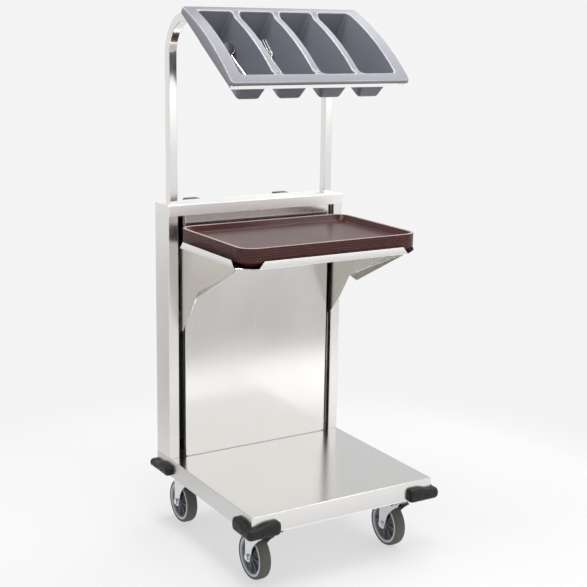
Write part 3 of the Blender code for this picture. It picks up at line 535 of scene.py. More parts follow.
def cap_shape():
    low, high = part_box("tower_cap")
    posts = [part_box("post_left"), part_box("post_right")]
    holes = [(least.x - HOLE_GAP, most.x + HOLE_GAP) for least, most in posts]
    post_back = posts[0][1].y
    front, back = post_back - TUBE - HOLE_GAP, post_back + HOLE_GAP
    shape = bmesh.new()
    placed_box(shape, low, high)
    for y in (front, back):
        cut_across(shape, (0, y, 0), (0, 1, 0))
    for x in holes[0] + holes[1]:
        cut_across(shape, (x, 0, 0), (1, 0, 0))
    gone = []
    for face in shape.faces:
        at = face.calc_center_median()
        in_hole = front < at.y < back and any(left < at.x < right for left, right in holes)
        if at.z < low.z + FIT or (at.z > high.z - FIT and in_hole):
            gone.append(face)
    bmesh.ops.delete(shape, geom=gone, context="FACES")
    round_off(shape, folds_of(shape), CAP_FOLD, 4)
    return shape


piece("cap_skin", cap_shape(), steel_cap_painted_light, "chassis", ["tower_cap"], wall=SHEET)

# %% [markdown]
# ## Tower
#
# The tower's housing is a C of sheet with two narrow front strips, and the front panel stands
# between them and leaves a slot on each side. A press brake folds such a sheet along straight
# lines. So the fold line is drawn as seen from above, only its left half, then mirrored, drawn
# upwards, and its upright edges are bevelled into bends.

# %% Folded uprights
STRIP = 0.030
STRIP_RETURN = 0.016
HOUSING_FOLD = 0.0025
PANEL_FOLD = 0.002


def new_parts(made, kind):
    """The vertices, edges or faces of an operator's result."""
    return [part for part in made["geom"] if isinstance(part, kind)]


def face_away_from(shape, centre):
    """Turn an open skin so that its largest face looks away from a point."""
    shape.normal_update()
    largest = max(shape.faces, key=lambda face: face.calc_area())
    if largest.normal.dot(largest.calc_center_median() - Vector(centre)) < 0:
        bmesh.ops.reverse_faces(shape, faces=shape.faces)


def folded_sheet(left_half, low, high, fold):
    """Carry a fold line on by its mirror image, draw it up and round its folds."""
    outline = left_half + [(-x, y) for x, y in reversed(left_half)]
    shape = bmesh.new()
    line = [shape.verts.new((x, y, low.z)) for x, y in outline]
    edges = [shape.edges.new(pair) for pair in zip(line, line[1:])]
    made = bmesh.ops.extrude_edge_only(shape, edges=edges)
    bmesh.ops.translate(shape, verts=new_parts(made, BMVert), vec=(0, 0, high.z - low.z))
    round_off(shape, folds_of(shape), fold, 4)
    face_away_from(shape, (low + high) / 2)
    return shape


# %% Housing and front panel
low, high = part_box("tower_housing")
tower_front = low.y
housing = folded_sheet([(low.x + STRIP, low.y + STRIP_RETURN), (low.x + STRIP, low.y),
                        (low.x, low.y), (low.x, high.y)], low, high, HOUSING_FOLD)
piece("housing_skin", housing, steel_housing, "chassis", ["tower_housing"],
      wall=SHEET)

low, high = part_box("front_panel")
panel = folded_sheet([(low.x, high.y), (low.x, low.y)], low, high, PANEL_FOLD)
piece("panel_skin", panel, steel_upright, "chassis", ["front_panel"], wall=SHEET)
print("tower front at", round(tower_front, 4))

# %% [markdown]
# ## Tray platform
#
# The trays stand on a pan whose four low rims stop short of its cut corners, with slanted ends.
# A box would need its corners cut away again. One eight-sided face, four of its edges drawn up,
# and the upper ends of those moved in, give the shape as the sheet is cut and folded.

# %% Platform pan
SIDE_CUT = 0.039
END_CUT = 0.049
RIM_SLANT = 0.016
PLATFORM_FOLD = 0.002


def rim_on(shape, edge, height):
    """Draw an edge up into a rim whose ends slant inwards."""
    run = (edge.verts[1].co - edge.verts[0].co).normalized()
    made = new_parts(bmesh.ops.extrude_edge_only(shape, edges=[edge]), BMVert)
    bmesh.ops.translate(shape, verts=made, vec=(0, 0, height))
    middle = (made[0].co + made[1].co) / 2
    for corner in made:
        inward = 1 if (middle - corner.co).dot(run) > 0 else -1
        bmesh.ops.translate(shape, verts=[corner], vec=run * RIM_SLANT * inward)


def platform_shape():
    low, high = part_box("tray_platform")
    outline = [(low.x + END_CUT, low.y), (high.x - END_CUT, low.y),
               (high.x, low.y + SIDE_CUT), (high.x, high.y - SIDE_CUT),
               (high.x - END_CUT, high.y), (low.x + END_CUT, high.y),
               (low.x, high.y - SIDE_CUT), (low.x, low.y + SIDE_CUT)]
    shape = bmesh.new()
    corners = [shape.verts.new((x, y, low.z)) for x, y in outline]
    shape.faces.new(corners)
    for first, second in zip(corners[::2], corners[1::2]):
        rim_on(shape, shape.edges.get((first, second)), high.z - low.z)
    round_off(shape, folds_of(shape), PLATFORM_FOLD, 3)
    face_away_from(shape, (0, 0, high.z * 2))
    return shape


piece("platform_skin", platform_shape(), steel_across, "carriage",
      ["tray_platform"], wall=SHEET)

# %% [markdown]
# ## Posts
#
# Each post is a square tube that rises from the tower, bends forward and runs on as a gently
# arched arm under the bin. A curve with a bevel object would give a tube too. Here one rounded
# square is drawn out step by step, up, round the bend and along the arch. That way the frame at
# each step is worked out, and the arm follows the underside of the bin's rim exactly.

# %% The bin's tilted frame
BIN_TILT = math.radians(33.5)
BIN_LENGTH = 0.325
BIN_WIDTH = 0.530
BIN_ARCH = 0.0165
BIN_WALL = 0.0025
BIN_BEFORE_TOWER = 0.1931
BIN_HEIGHT = 1.3691

bin_centre = Vector((0, tower_front - BIN_BEFORE_TOWER, BIN_HEIGHT))
bin_frame = Matrix.Translation(bin_centre) @ Matrix.Rotation(BIN_TILT, 4, "X")


def arch_at(up_slope):
    """Height of the bin's rim over its ends."""
    share = up_slope / (BIN_LENGTH / 2)
    return BIN_ARCH * (1 - share * share)


def arch_lean(up_slope):
    return math.atan2(2 * BIN_ARCH * up_slope, (BIN_LENGTH / 2) ** 2)


print("arch leans", round(math.degrees(arch_lean(BIN_LENGTH / 2)), 1), "degrees at its end")

# %% Frames along a post
ARM_START = 0.104
BEND_STEPS = 32
ARM_STEPS = 14
FRAME_STRIP = 0.003
ARM_PAST_STRIP = 0.0025

strip_place = -BIN_LENGTH / 2 + 2 * BIN_WALL + FIT + FRAME_STRIP


def arm_point(up_slope):
    """Place and fall angle of the arm's middle at a distance up the slope."""
    lean = arch_lean(up_slope)
    height = arch_at(up_slope) - BIN_WALL - FIT - TUBE / 2 / math.cos(lean)
    place = bin_frame @ Vector((0, up_slope, height))
    return place.y, place.z, BIN_TILT - lean


def post_frames(x, foot, post_y, last):
    """Frames from the foot, round the bend, and along the arm to its last point."""
    end_y, end_z, fall = arm_point(ARM_START)
    radius = (post_y - end_y) / (1 + math.sin(fall))
    bend_from = end_z - radius * math.cos(fall)
    rows = [(post_y, foot, -math.pi / 2)]
    for step in range(BEND_STEPS + 1):
        angle = -math.pi / 2 + (math.pi / 2 + fall) * step / BEND_STEPS
        rows.append((post_y - radius - radius * math.sin(angle),
                     bend_from + radius * math.cos(angle), angle))
    for step in range(1, ARM_STEPS + 1):
        rows.append(arm_point(ARM_START + (last - ARM_START) * step / ARM_STEPS))
    return [Matrix.Translation((x, y, z)) @ Matrix.Rotation(angle + math.pi / 2, 4, "X")
            for y, z, angle in rows]


# %% Tubes
TUBE_CORNER = 0.003
TUBE_WALL = 0.0018


def rounded_face(shape, width, length, radius, segments):
    """Add one flat face with rounded corners, in the xy plane."""
    made = bmesh.ops.create_grid(shape, x_segments=1, y_segments=1, size=0.5)
    bmesh.ops.scale(shape, vec=(width, length, 1), verts=made["verts"])
    corners = round_off(shape, made["verts"], radius, segments, "VERTICES")
    return corners["verts"][0].link_faces[0]


def sweep(shape, frames):
    """Draw a face out through a row of frames, each a matrix from the face's own plane."""
    front = list(shape.faces)
    bmesh.ops.transform(shape, matrix=frames[0], verts=shape.verts)
    for before, after in zip(frames, frames[1:]):
        made = bmesh.ops.extrude_face_region(shape, geom=front)
        bmesh.ops.transform(shape, matrix=after @ before.inverted(),
                            verts=new_parts(made, BMVert))
        front = new_parts(made, BMFace)


for hand in ("left", "right"):
    low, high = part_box(f"post_{hand}")
    middle_x, middle_y = (low.x + high.x) / 2, high.y - TUBE / 2
    frames = post_frames(middle_x, low.z, middle_y, strip_place + ARM_PAST_STRIP)
    post = bmesh.new()
    rounded_face(post, TUBE, TUBE, TUBE_CORNER, 4)
    sweep(post, frames)
    ends = [face for face in post.faces if len(face.verts) > 4]
    bmesh.ops.delete(post, geom=ends, context="FACES_ONLY")
    bmesh.ops.recalc_face_normals(post, faces=post.faces)
    face_away_from(post, (middle_x, middle_y, (low.z + frames[1].translation.z) / 2))
    piece(f"post_tube_{hand}", post, steel_tube, "chassis", [f"post_{hand}"],
          wall=TUBE_WALL)

# %% [markdown]
# ## Cutlery bin
#
# The bin is one thin moulding: an arched rim, four tapering pockets with rounded mouths and feet,
# and a skirt. Four tubs joined by Booleans would leave seams where the real bin is one skin. So
# the skin is drawn flat first, as a sheet between rounded loops, cut into narrow strips that can
# arch. Then each mouth is drawn down ring by ring, as a mould's core would stretch it.

# %% Sizes of the bin
POCKET_SPAN = 0.2353
DIVIDER = 0.0109
FRONT_RIM, REAR_RIM = 0.0237, 0.0187
POCKET_DEPTH = 0.0785
SIDE_DRAFT, FRONT_DRAFT, REAR_DRAFT = 0.018, 0.006, 0.016
MOUTH_RADIUS = 0.0108
CORNER_STEPS = 6
LIP = 0.0050
FOOT_RADIUS = 0.009
DIVIDER_DROP = 0.010
SIDE_SKIRT, END_SKIRT = 0.016, 0.010
RIM_EDGE = 0.0035
RIM_CORNER = 0.008
RIM_STRIPS = 40

mouth_front = -BIN_LENGTH / 2 + FRONT_RIM
mouth_rear = BIN_LENGTH / 2 - REAR_RIM
mouth_length = mouth_rear - mouth_front
pocket_pitch = (2 * POCKET_SPAN + DIVIDER) / 4
pocket_half = (pocket_pitch - DIVIDER) / 2
pocket_middles = [-POCKET_SPAN + pocket_half + pocket_pitch * number for number in range(4)]
print("pockets", round(2 * pocket_half, 4), "m wide,", round(mouth_length, 4), "m long")


# %% Height of the rim
DIVIDER_EASE = 0.016
MOUTH_EASE = 0.030
EASE_PAST = 0.004


def ease(value):
    """Nought to one with a soft start and a soft end."""
    value = min(1.0, max(0.0, value))
    return value * value * (3 - 2 * value)


def rim_height(across, along):
    """Height of the rim's skin: the arch, a little lower on the dividers."""
    inside = ease((POCKET_SPAN - EASE_PAST - abs(across)) / DIVIDER_EASE)
    from_front = ease((along - mouth_front + EASE_PAST) / MOUTH_EASE)
    from_rear = ease((mouth_rear + EASE_PAST - along) / MOUTH_EASE)
    return arch_at(along) - DIVIDER_DROP * inside * from_front * from_rear


print("rim stands", round(rim_height(BIN_WIDTH / 2, 0), 4), "m high at its sides")


# %% Rim with four mouths, cut into strips
def open_loop(shape, width, length, radius, x, y):
    """Add a rounded rectangle of edges without a face."""
    face = rounded_face(shape, width, length, radius, CORNER_STEPS)
    bmesh.ops.translate(shape, verts=face.verts, vec=(x, y, 0))
    bmesh.ops.delete(shape, geom=[face], context="FACES_ONLY")


def flat_rim():
    shape = bmesh.new()
    # A layer that marks the lips for the painted highlight, which also stands for rubbing.
    shape.verts.layers.float.new(WEAR_AND_HIGHLIGHT)
    open_loop(shape, BIN_WIDTH - 2 * RIM_EDGE, BIN_LENGTH - 2 * RIM_EDGE, RIM_CORNER, 0, 0)
    for middle in pocket_middles:
        open_loop(shape, 2 * pocket_half, mouth_length, MOUTH_RADIUS, middle,
                  (mouth_rear + mouth_front) / 2)
    bmesh.ops.triangle_fill(shape, edges=shape.edges[:], use_beauty=True, normal=(0, 0, 1))
    for step in range(1, RIM_STRIPS):
        along = -BIN_LENGTH / 2 + BIN_LENGTH * step / RIM_STRIPS
        cut_across(shape, (0, along, 0), (0, 1, 0))
    for middle in pocket_middles[:-1]:
        cut_across(shape, (middle + pocket_pitch / 2, 0, 0), (1, 0, 0))
    return shape


# %% Draw a loop on, and mark its lip for the painted highlight and rubbing
# Painted highlight for each step round a lip, strongest part way round the rounding.
WEAR_AND_HIGHLIGHT_BY_STEP = (0.3, 1.0, 1.0, 0.3)


def flat_places(loop):
    """Each point of a loop, with the flat place it starts from."""
    return {corner: corner.co.copy() for edge in loop for corner in edge.verts}


def drawn_on(shape, loop, home):
    """Draw a loop of edges on. Returns it, and the flat place that each new point comes from."""
    made = bmesh.ops.extrude_edge_only(shape, edges=loop)
    carried = {}
    for corner in new_parts(made, BMVert):
        for edge in corner.link_edges:
            before = edge.other_vert(corner)
            if before in home:
                carried[corner] = home[before]
    loop = [edge for edge in new_parts(made, BMEdge)
            if edge.verts[0] in carried and edge.verts[1] in carried]
    return loop, carried


def mark_wear_and_highlight(shape, points, step):
    """Mark a lip for its painted highlight, most near its crest, and where cutlery rubs it pale."""
    wear_and_highlight = shape.verts.layers.float[WEAR_AND_HIGHLIGHT]
    for corner in points:
        corner[wear_and_highlight] = WEAR_AND_HIGHLIGHT_BY_STEP[step] if step < len(WEAR_AND_HIGHLIGHT_BY_STEP) else 0.0


# %% Pockets
LIP_STEPS = 6
FOOT_STEPS = 5


def pocket_rings():
    """Depth, inset and share of the draft for each ring: lip, slanting wall, rounded foot."""
    rings = []
    for step in range(1, LIP_STEPS + 1):
        angle = math.pi / 2 * step / LIP_STEPS
        rings.append((LIP * (1 - math.cos(angle)), LIP * math.sin(angle), 0.0))
    foot = POCKET_DEPTH - FOOT_RADIUS
    for share in (0.25, 0.5, 0.75, 1.0):
        rings.append((LIP + (foot - LIP) * share, LIP, share))
    for step in range(1, FOOT_STEPS + 1):
        angle = math.pi / 2 * step / FOOT_STEPS
        rings.append((foot + FOOT_RADIUS * math.sin(angle),
                      LIP + FOOT_RADIUS * (1 - math.cos(angle)), 1.0))
    return rings


def in_pocket(flat, middle, depth, inset, share):
    """Where a point of the mouth's outline comes to lie on a ring."""
    side = inset + SIDE_DRAFT * share
    front, rear = inset + FRONT_DRAFT * share, inset + REAR_DRAFT * share
    up = (flat.y - mouth_front) / mouth_length
    height = rim_height(flat.x, flat.y) - min(depth, LIP)
    if depth > LIP:
        height -= (height + POCKET_DEPTH) * (depth - LIP) / (POCKET_DEPTH - LIP)
    return Vector((middle + (flat.x - middle) * (1 - side / pocket_half),
                   flat.y + front * (1 - up) - rear * up, height))


def draw_pocket(shape, loop, middle):
    home = flat_places(loop)
    for step, ring in enumerate(pocket_rings()):
        loop, home = drawn_on(shape, loop, home)
        # The rings of the lip get the painted highlight.
        mark_wear_and_highlight(shape, home, step)
        for corner, flat in home.items():
            corner.co = in_pocket(flat, middle, *ring)
    bmesh.ops.contextual_create(shape, geom=loop)


print(len(pocket_rings()), "rings in a pocket")

# %% Skirt: the outer edge, rounded and drawn down
EDGE_STEPS = 4
SKIRT_EASE = 0.008


def skirt_depth(flat, half_x, half_y):
    """Deeper along the sides than at the ends."""
    on_side = ease((abs(flat.x) - half_x + SKIRT_EASE) / SKIRT_EASE)
    off_end = ease((half_y - abs(flat.y)) / SKIRT_EASE)
    return END_SKIRT + (SIDE_SKIRT - END_SKIRT) * on_side * off_end


def draw_skirt(shape, loop):
    half_x, half_y = BIN_WIDTH / 2 - RIM_EDGE, BIN_LENGTH / 2 - RIM_EDGE
    home = flat_places(loop)
    for step in range(1, EDGE_STEPS + 2):
        angle = math.pi / 2 * min(step, EDGE_STEPS) / EDGE_STEPS
        out, drop = RIM_EDGE * math.sin(angle), RIM_EDGE * (1 - math.cos(angle))
        loop, home = drawn_on(shape, loop, home)
        # The skirt's rounded edge gets the painted highlight too.
        mark_wear_and_highlight(shape, home, step - 1)
        for corner, flat in home.items():
            height = arch_at(flat.y) - drop
            if step > EDGE_STEPS:
                height = -skirt_depth(flat, half_x, half_y)
            corner.co = (flat.x * (1 + out / half_x), flat.y * (1 + out / half_y), height)


# %% The whole skin, tilted into place
NEAR = 0.001


def face_up(shape, face):
    """Turn a skin over if one of its faces looks down."""
    shape.normal_update()
    if face.normal.z < 0:
        bmesh.ops.reverse_faces(shape, faces=shape.faces)


def bin_shape():
    shape = flat_rim()
    flat_points = list(shape.verts)
    border = [edge for edge in shape.edges if edge.is_boundary]
    middle_of = {edge: (edge.verts[0].co + edge.verts[1].co) / 2 for edge in border}
    inner = [edge for edge in border if abs(middle_of[edge].x) < POCKET_SPAN + NEAR
             and mouth_front - NEAR < middle_of[edge].y < mouth_rear + NEAR]
    outer = [edge for edge in border if edge not in inner]
    for middle in pocket_middles:
        mouth = [edge for edge in inner if abs(middle_of[edge].x - middle) < pocket_half + NEAR]
        draw_pocket(shape, mouth, middle)
    draw_skirt(shape, outer)
    for corner in flat_points:
        corner.co.z = rim_height(corner.co.x, corner.co.y)
    bmesh.ops.recalc_face_normals(shape, faces=shape.faces)
    rear_rim = Vector((0, mouth_rear + REAR_RIM / 2, 0))
    on_rim = min(shape.faces, key=lambda face: (face.calc_center_median() - rear_rim).length)
    face_up(shape, on_rim)
    bmesh.ops.transform(shape, matrix=bin_frame, verts=shape.verts)
    return shape


piece("bin_moulding", bin_shape(), bin_plastic, "bin", ["cutlery_bin"],
      wall=BIN_WALL, sharp_degrees=60)

# %% [markdown]
# ## Trays
#
# Six laminate trays nest on the platform. A press forms each from a flat sheet, so the profile is
# the same all round: a raised rim, a slanting wall and a flat floor. One rounded face is inset
# again and again, and each inset is raised or sunk by a step of that profile. The rim's top is
# marked for a pale painted highlight, which also stands for rubbing. The same function serves
# all six.

# %% One tray
TRAY_STEPS = (
    (0.0010, 0.0008), (0.0050, 0.0002), (0.0012, -0.0004),
    (0.0010, -0.0012), (0.0050, -0.0056), (0.0060, -0.0068),
    (0.0018, -0.0016), (0.0022, -0.0010), (0.0028, -0.0004),
)
TRAY_CORNER, TRAY_CORNER_STEPS = 0.042, 10
TRAY_WALL = 0.0025
TRAY_LIP = 0.0049
WEAR_AND_HIGHLIGHT_DEPTH = 0.0005


def tray_shape(node_name):
    low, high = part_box(node_name)
    rim_start = high.z - TRAY_STEPS[0][1] - TRAY_STEPS[1][1]
    shape = bmesh.new()
    face = rounded_face(shape, high.x - low.x, high.y - low.y, TRAY_CORNER,
                        TRAY_CORNER_STEPS)
    bmesh.ops.translate(shape, verts=shape.verts,
                        vec=((low.x + high.x) / 2, (low.y + high.y) / 2, rim_start))
    face_up(shape, face)
    for inset, rise in TRAY_STEPS:
        bmesh.ops.inset_region(shape, faces=[face], thickness=inset, use_even_offset=True,
                               use_boundary=True)
        bmesh.ops.translate(shape, verts=face.verts, vec=(0, 0, rise))
    outline = [edge for edge in shape.edges if edge.is_boundary]
    made = bmesh.ops.extrude_edge_only(shape, edges=outline)
    bmesh.ops.translate(shape, verts=new_parts(made, BMVert), vec=(0, 0, -TRAY_LIP))
    bmesh.ops.recalc_face_normals(shape, faces=shape.faces)
    face_up(shape, face)
    # Only the rim's very top gets the painted highlight.
    wear_and_highlight = shape.verts.layers.float.new(WEAR_AND_HIGHLIGHT)
    for corner in shape.verts:
        corner[wear_and_highlight] = 1.0 if corner.co.z > high.z - WEAR_AND_HIGHLIGHT_DEPTH else 0.0
    return shape


# %% The stack
for number in range(1, 7):
    body = "top_tray" if number == 6 else "carriage"
    piece(f"laminate_tray_{number}", tray_shape(f"tray_{number}"), tray_laminate, body,
          [f"tray_{number}"], wall=TRAY_WALL, sharp_degrees=40)

# %% [markdown]
# ## Corner bumpers
#
# A soft black moulding wraps each corner of the deck with two fat rounded arms and a dip between
# them. A bevelled block would miss how the arms swell. So one rounded section is drawn along one
# arm, round the corner and along the other. At every step its frame is scaled, which swells the
# section or tapers it into a rounded end.

# %% Stations along a bumper: kind, place, swell and valley
BUMPER_THICK = 0.0175
BUMPER_DIP = 0.0085
BUMPER_END = 0.013
END_STEPS = 5
TURN_STEPS = 4
ARM_SHARES = (0.62, 0.48, 0.34, 0.22, 0.12, 0.04)
DIP_START, DIP_EASE = 0.55, 0.45


def arm_stations(side, arm):
    """Distance from the corner and swell for one arm, from its rounded end inwards."""
    stations = []
    for step in range(END_STEPS + 1):
        angle = math.pi / 2 * step / END_STEPS
        place = arm - BUMPER_END * (1 - math.cos(angle))
        stations.append((side, place, math.sin(angle), 0.0))
    for share in ARM_SHARES:
        stations.append((side, arm * share, 1.0, ease((DIP_START - share) / DIP_EASE)))
    return stations


def bumper_stations(side_arm, end_arm):
    turn = [("corner", step / TURN_STEPS, 1.0, 1.0) for step in range(TURN_STEPS + 1)]
    return arm_stations("side", side_arm) + turn + arm_stations("end", end_arm)[::-1]


print(len(bumper_stations(0.1, 0.1)), "stations round a corner")


# %% Frames round a corner of the deck
BUMPERS = ("bumper_front_left", "bumper_front_right", "bumper_rear_left", "bumper_rear_right")


def bumper_sides(name):
    """Which way a bumper's corner looks, as signs of x and y."""
    return (1 if name.endswith("right") else -1), (-1 if "front" in name else 1)


def corner_of(name, side_x, side_y):
    """A node's corner seen from above."""
    low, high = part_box(name)
    return (high.x if side_x > 0 else low.x), (high.y if side_y > 0 else low.y)


def section_frame(outward, reach, rise, origin):
    """A frame whose x axis points outwards and whose y axis points up, each with its scale."""
    along = outward.cross(Vector((0, 0, 1)))
    return Matrix(((outward.x * reach, 0, along.x, origin.x),
                   (outward.y * reach, 0, along.y, origin.y),
                   (0, rise, 0, origin.z),
                   (0, 0, 0, 1)))


print("bumpers look", [bumper_sides(name) for name in BUMPERS])

# %% Swell the section along the arms
END_REACH, END_RISE, END_LIFT = 0.30, 0.45, 0.24
CORNER_SWELL = 0.16


def bumper_frames(name):
    low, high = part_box(name)
    height = high.z - low.z
    side_x, side_y = bumper_sides(name)
    deck_x, deck_y = corner_of("deck_pan", side_x, side_y)
    corner = Vector((deck_x + side_x * FIT, deck_y + side_y * FIT, low.z))
    end_x, end_y = corner_of(name, -side_x, -side_y)
    frames = []
    for kind, place, swell, valley in bumper_stations(abs(end_y - corner.y),
                                                      abs(end_x - corner.x)):
        reach = BUMPER_THICK * (END_REACH + (1 - END_REACH) * swell)
        rise = height * (END_RISE + (1 - END_RISE) * swell) - BUMPER_DIP * valley
        lift = height * END_LIFT * (1 - swell)
        if kind == "side":
            origin = corner + Vector((0, -side_y * place, lift))
            turn = 0.0
        elif kind == "end":
            origin = corner + Vector((-side_x * place, 0, lift))
            turn = math.pi / 2
        else:
            origin = corner.copy()
            turn = math.pi / 2 * place
            reach = BUMPER_THICK * (1 + CORNER_SWELL * math.sin(2 * turn))
        outward = Vector((side_x * math.cos(turn), side_y * math.sin(turn), 0))
        frames.append(section_frame(outward, reach, rise, origin))
    return frames


# %% Four bumpers
SECTION_ROUND = 0.42


def bumper_shape(name):
    """A unit square against the deck, its outer corners rounded, drawn along the frames."""
    shape = bmesh.new()
    made = bmesh.ops.create_grid(shape, x_segments=1, y_segments=1, size=0.5)
    bmesh.ops.translate(shape, verts=made["verts"], vec=(0.5, 0.5, 0))
    outer_corners = [corner for corner in shape.verts if corner.co.x > 0.5]
    round_off(shape, outer_corners, SECTION_ROUND, 4, "VERTICES")
    sweep(shape, bumper_frames(name))
    bmesh.ops.recalc_face_normals(shape, faces=shape.faces)
    return shape


for name in BUMPERS:
    piece(f"{name}_moulding", bumper_shape(name), bumper_rubber, "chassis",
          [name], sharp_degrees=70)

# %% [markdown]
# ## Castor wheels
#
# A castor's wheel is a grey rubber tyre on a light rim, round a darker hub with a boss, a web and
# eight ribs. All of it is round about the axle, so each is a profile spun through a full turn.
# Half a profile is enough, because a wheel is the same on both sides. The ribs are slim boxes,
# each turned to its place.

# %% Spinning a profile
WHEEL = 0.0625
TYRE_HALF = 0.016
TREAD_DROP = 0.0058
TREAD_ROUND = 0.0105


def both_sides(half):
    """A profile of (radius, along) points, carried on by its mirror image."""
    return half + [(radius, -along) for radius, along in reversed(half)]


def turned(profile, steps, closed=True):
    """Spin a profile about the x axis."""
    shape = bmesh.new()
    line = [shape.verts.new((along, radius, 0)) for radius, along in profile]
    pairs = list(zip(line, line[1:]))
    if closed:
        pairs.append((line[-1], line[0]))
    edges = [shape.edges.new(pair) for pair in pairs]
    bmesh.ops.spin(shape, geom=line + edges, cent=(0, 0, 0), axis=(1, 0, 0),
                   angle=math.tau, steps=steps, use_merge=True)
    bmesh.ops.remove_doubles(shape, verts=shape.verts, dist=1e-6)
    bmesh.ops.recalc_face_normals(shape, faces=shape.faces)
    return shape


# %% Tyre, rim and hub
RIM_HALF = [(0.0466, 0.0070), (0.0470, 0.0135), (0.0478, 0.0148), (0.0528, 0.0150),
            (0.0545, 0.0140)]
HUB_HALF = [(0.0075, 0.0172), (0.0130, 0.0172), (0.0146, 0.0158), (0.0155, 0.0075),
            (0.0200, 0.0048), (0.0405, 0.0045), (0.0440, 0.0062), (0.0467, 0.0110)]
BEAD = [(0.0542, TYRE_HALF - 0.0022), (0.0556, TYRE_HALF - 0.0004)]
TREAD_STEPS = 8
TYRE_STEPS, RIM_STEPS, HUB_STEPS = 96, 72, 48
RIBS = 8
RIB_THICK = 0.0022
RIB_FROM, RIB_TO = 0.0140, 0.0430
RIB_INNER, RIB_OUTER = 0.0044, 0.0120


def tyre_shape():
    """A bead that grips the rim, and a tread that is round across."""
    tread = []
    for step in range(TREAD_STEPS + 1):
        angle = math.pi / 2 * step / TREAD_STEPS
        tread.append((WHEEL - TREAD_DROP * (1 - math.sin(angle)),
                      TYRE_HALF - TREAD_ROUND * (1 - math.cos(angle))))
    return turned(both_sides(BEAD + tread), TYRE_STEPS)


def rim_shape():
    return turned(both_sides(RIM_HALF), RIM_STEPS)


def hub_shape():
    """A boss, a thin web and ribs that stand out on both faces."""
    shape = turned(both_sides(HUB_HALF), HUB_STEPS)
    for number in range(RIBS):
        turn = Matrix.Rotation(math.tau * number / RIBS, 4, "X")
        for inner, outer in ((-RIB_OUTER, -RIB_INNER), (RIB_INNER, RIB_OUTER)):
            rib = placed_box(shape, (inner, -RIB_THICK / 2, RIB_FROM),
                             (outer, RIB_THICK / 2, RIB_TO))
            bmesh.ops.transform(shape, matrix=turn, verts=rib["verts"])
    return shape


# %% [markdown]
# ## Castor forks
#
# A fork is pressed from one thick sheet: two legs with a round eye for the axle, joined over the
# wheel by rounded shoulders, with a ball race cup on top. Cutting it from a block would lose the
# even thickness. So one leg's face is drawn as an outline, its top edge is spun through a quarter
# turn for the shoulder, a face joins both shoulders, and solidify makes the skin a sheet.

# %% Discs and six-sided nuts
ALONG_X = (1, 0, 0)
ALONG_Z = (0, 0, 1)


def turned_to(direction):
    """A turn that takes the z axis to a direction."""
    return Vector(direction).to_track_quat("Z", "Y").to_matrix().to_4x4()


def disc(shape, centre, axis, radius, depth, segments=24, top_radius=None):
    """Add a short round or many-sided bar whose middle is at centre."""
    place = Matrix.Translation(Vector(centre)) @ turned_to(axis)
    top = radius if top_radius is None else top_radius
    return bmesh.ops.create_cone(shape, cap_ends=True, segments=segments, radius1=radius,
                                 radius2=top, depth=depth, matrix=place)


# %% Fork
TRAIL = 0.038
FORK_HALF = 0.022
FORK_SHEET = 0.003
EYE = 0.0135
SHOULDER = 0.012
SHOULDER_BASE = 0.137
LEG_REAR = 0.052
LEG_FRONT_LOW, LEG_FRONT_HIGH = 0.0225, -0.030
LEG_FRONT_BASE = 0.072
LEG_HOLLOW = 0.55
EYE_START, EYE_SWEEP, EYE_STEPS = 8, 150, 12
LEG_STEPS, SHOULDER_STEPS, CUP_STEPS = 8, 5, 48
CUP_RADIUS, CUP_TOP, CUP_DEPTH = 0.034, 0.030, 0.0070
CUP_LEVEL = SHOULDER_BASE + SHOULDER + 0.0005


def leg_outline():
    """The leg seen from the side: rear corner, round the eye, and up the hollow front edge."""
    outline = [(LEG_REAR, SHOULDER_BASE)]
    for step in range(EYE_STEPS + 1):
        angle = math.radians(EYE_START - EYE_SWEEP * step / EYE_STEPS)
        outline.append((TRAIL + EYE * math.cos(angle), WHEEL + EYE * math.sin(angle)))
    for step in range(LEG_STEPS + 1):
        share = step / LEG_STEPS
        outline.append((LEG_FRONT_LOW + (LEG_FRONT_HIGH - LEG_FRONT_LOW) * share,
                        LEG_FRONT_BASE + (SHOULDER_BASE - LEG_FRONT_BASE) * share ** LEG_HOLLOW))
    return outline


def fork_side(shape, side):
    """One leg's outer face with its shoulder. Returns the shoulder's upper edge."""
    corners = [shape.verts.new((side * FORK_HALF, y, z)) for y, z in leg_outline()]
    shape.faces.new(corners)
    top_edge = shape.edges.get((corners[0], corners[-1]))
    centre = (side * (FORK_HALF - SHOULDER), 0, SHOULDER_BASE)
    made = bmesh.ops.spin(shape, geom=[top_edge], cent=centre, axis=(0, -side, 0),
                          angle=math.pi / 2, steps=SHOULDER_STEPS)
    return next(part for part in made["geom_last"] if isinstance(part, BMEdge))


def fork_shape():
    shape = bmesh.new()
    shoulders = [fork_side(shape, side) for side in (-1, 1)]
    bmesh.ops.contextual_create(shape, geom=shoulders)
    bmesh.ops.recalc_face_normals(shape, faces=shape.faces)
    face_away_from(shape, (0, TRAIL, WHEEL))
    bmesh.ops.solidify(shape, geom=shape.faces[:], thickness=FORK_SHEET)
    bmesh.ops.recalc_face_normals(shape, faces=shape.faces)
    disc(shape, (0, 0, CUP_LEVEL), ALONG_Z, CUP_RADIUS, CUP_DEPTH, CUP_STEPS, CUP_TOP)
    return shape


print(len(leg_outline()), "points round a fork's leg")

# %% [markdown]
# ## Castor plate and axle
#
# The plate is bolted up under the deck, with a nut and a stud at each corner. A race and the
# kingpin's nut hang below its middle. The axle is a bolt with a nut and a washer at each end.
# Threads would never be seen, so the cone operator makes them all: with six segments it gives a
# nut, and with many a bolt or a race.

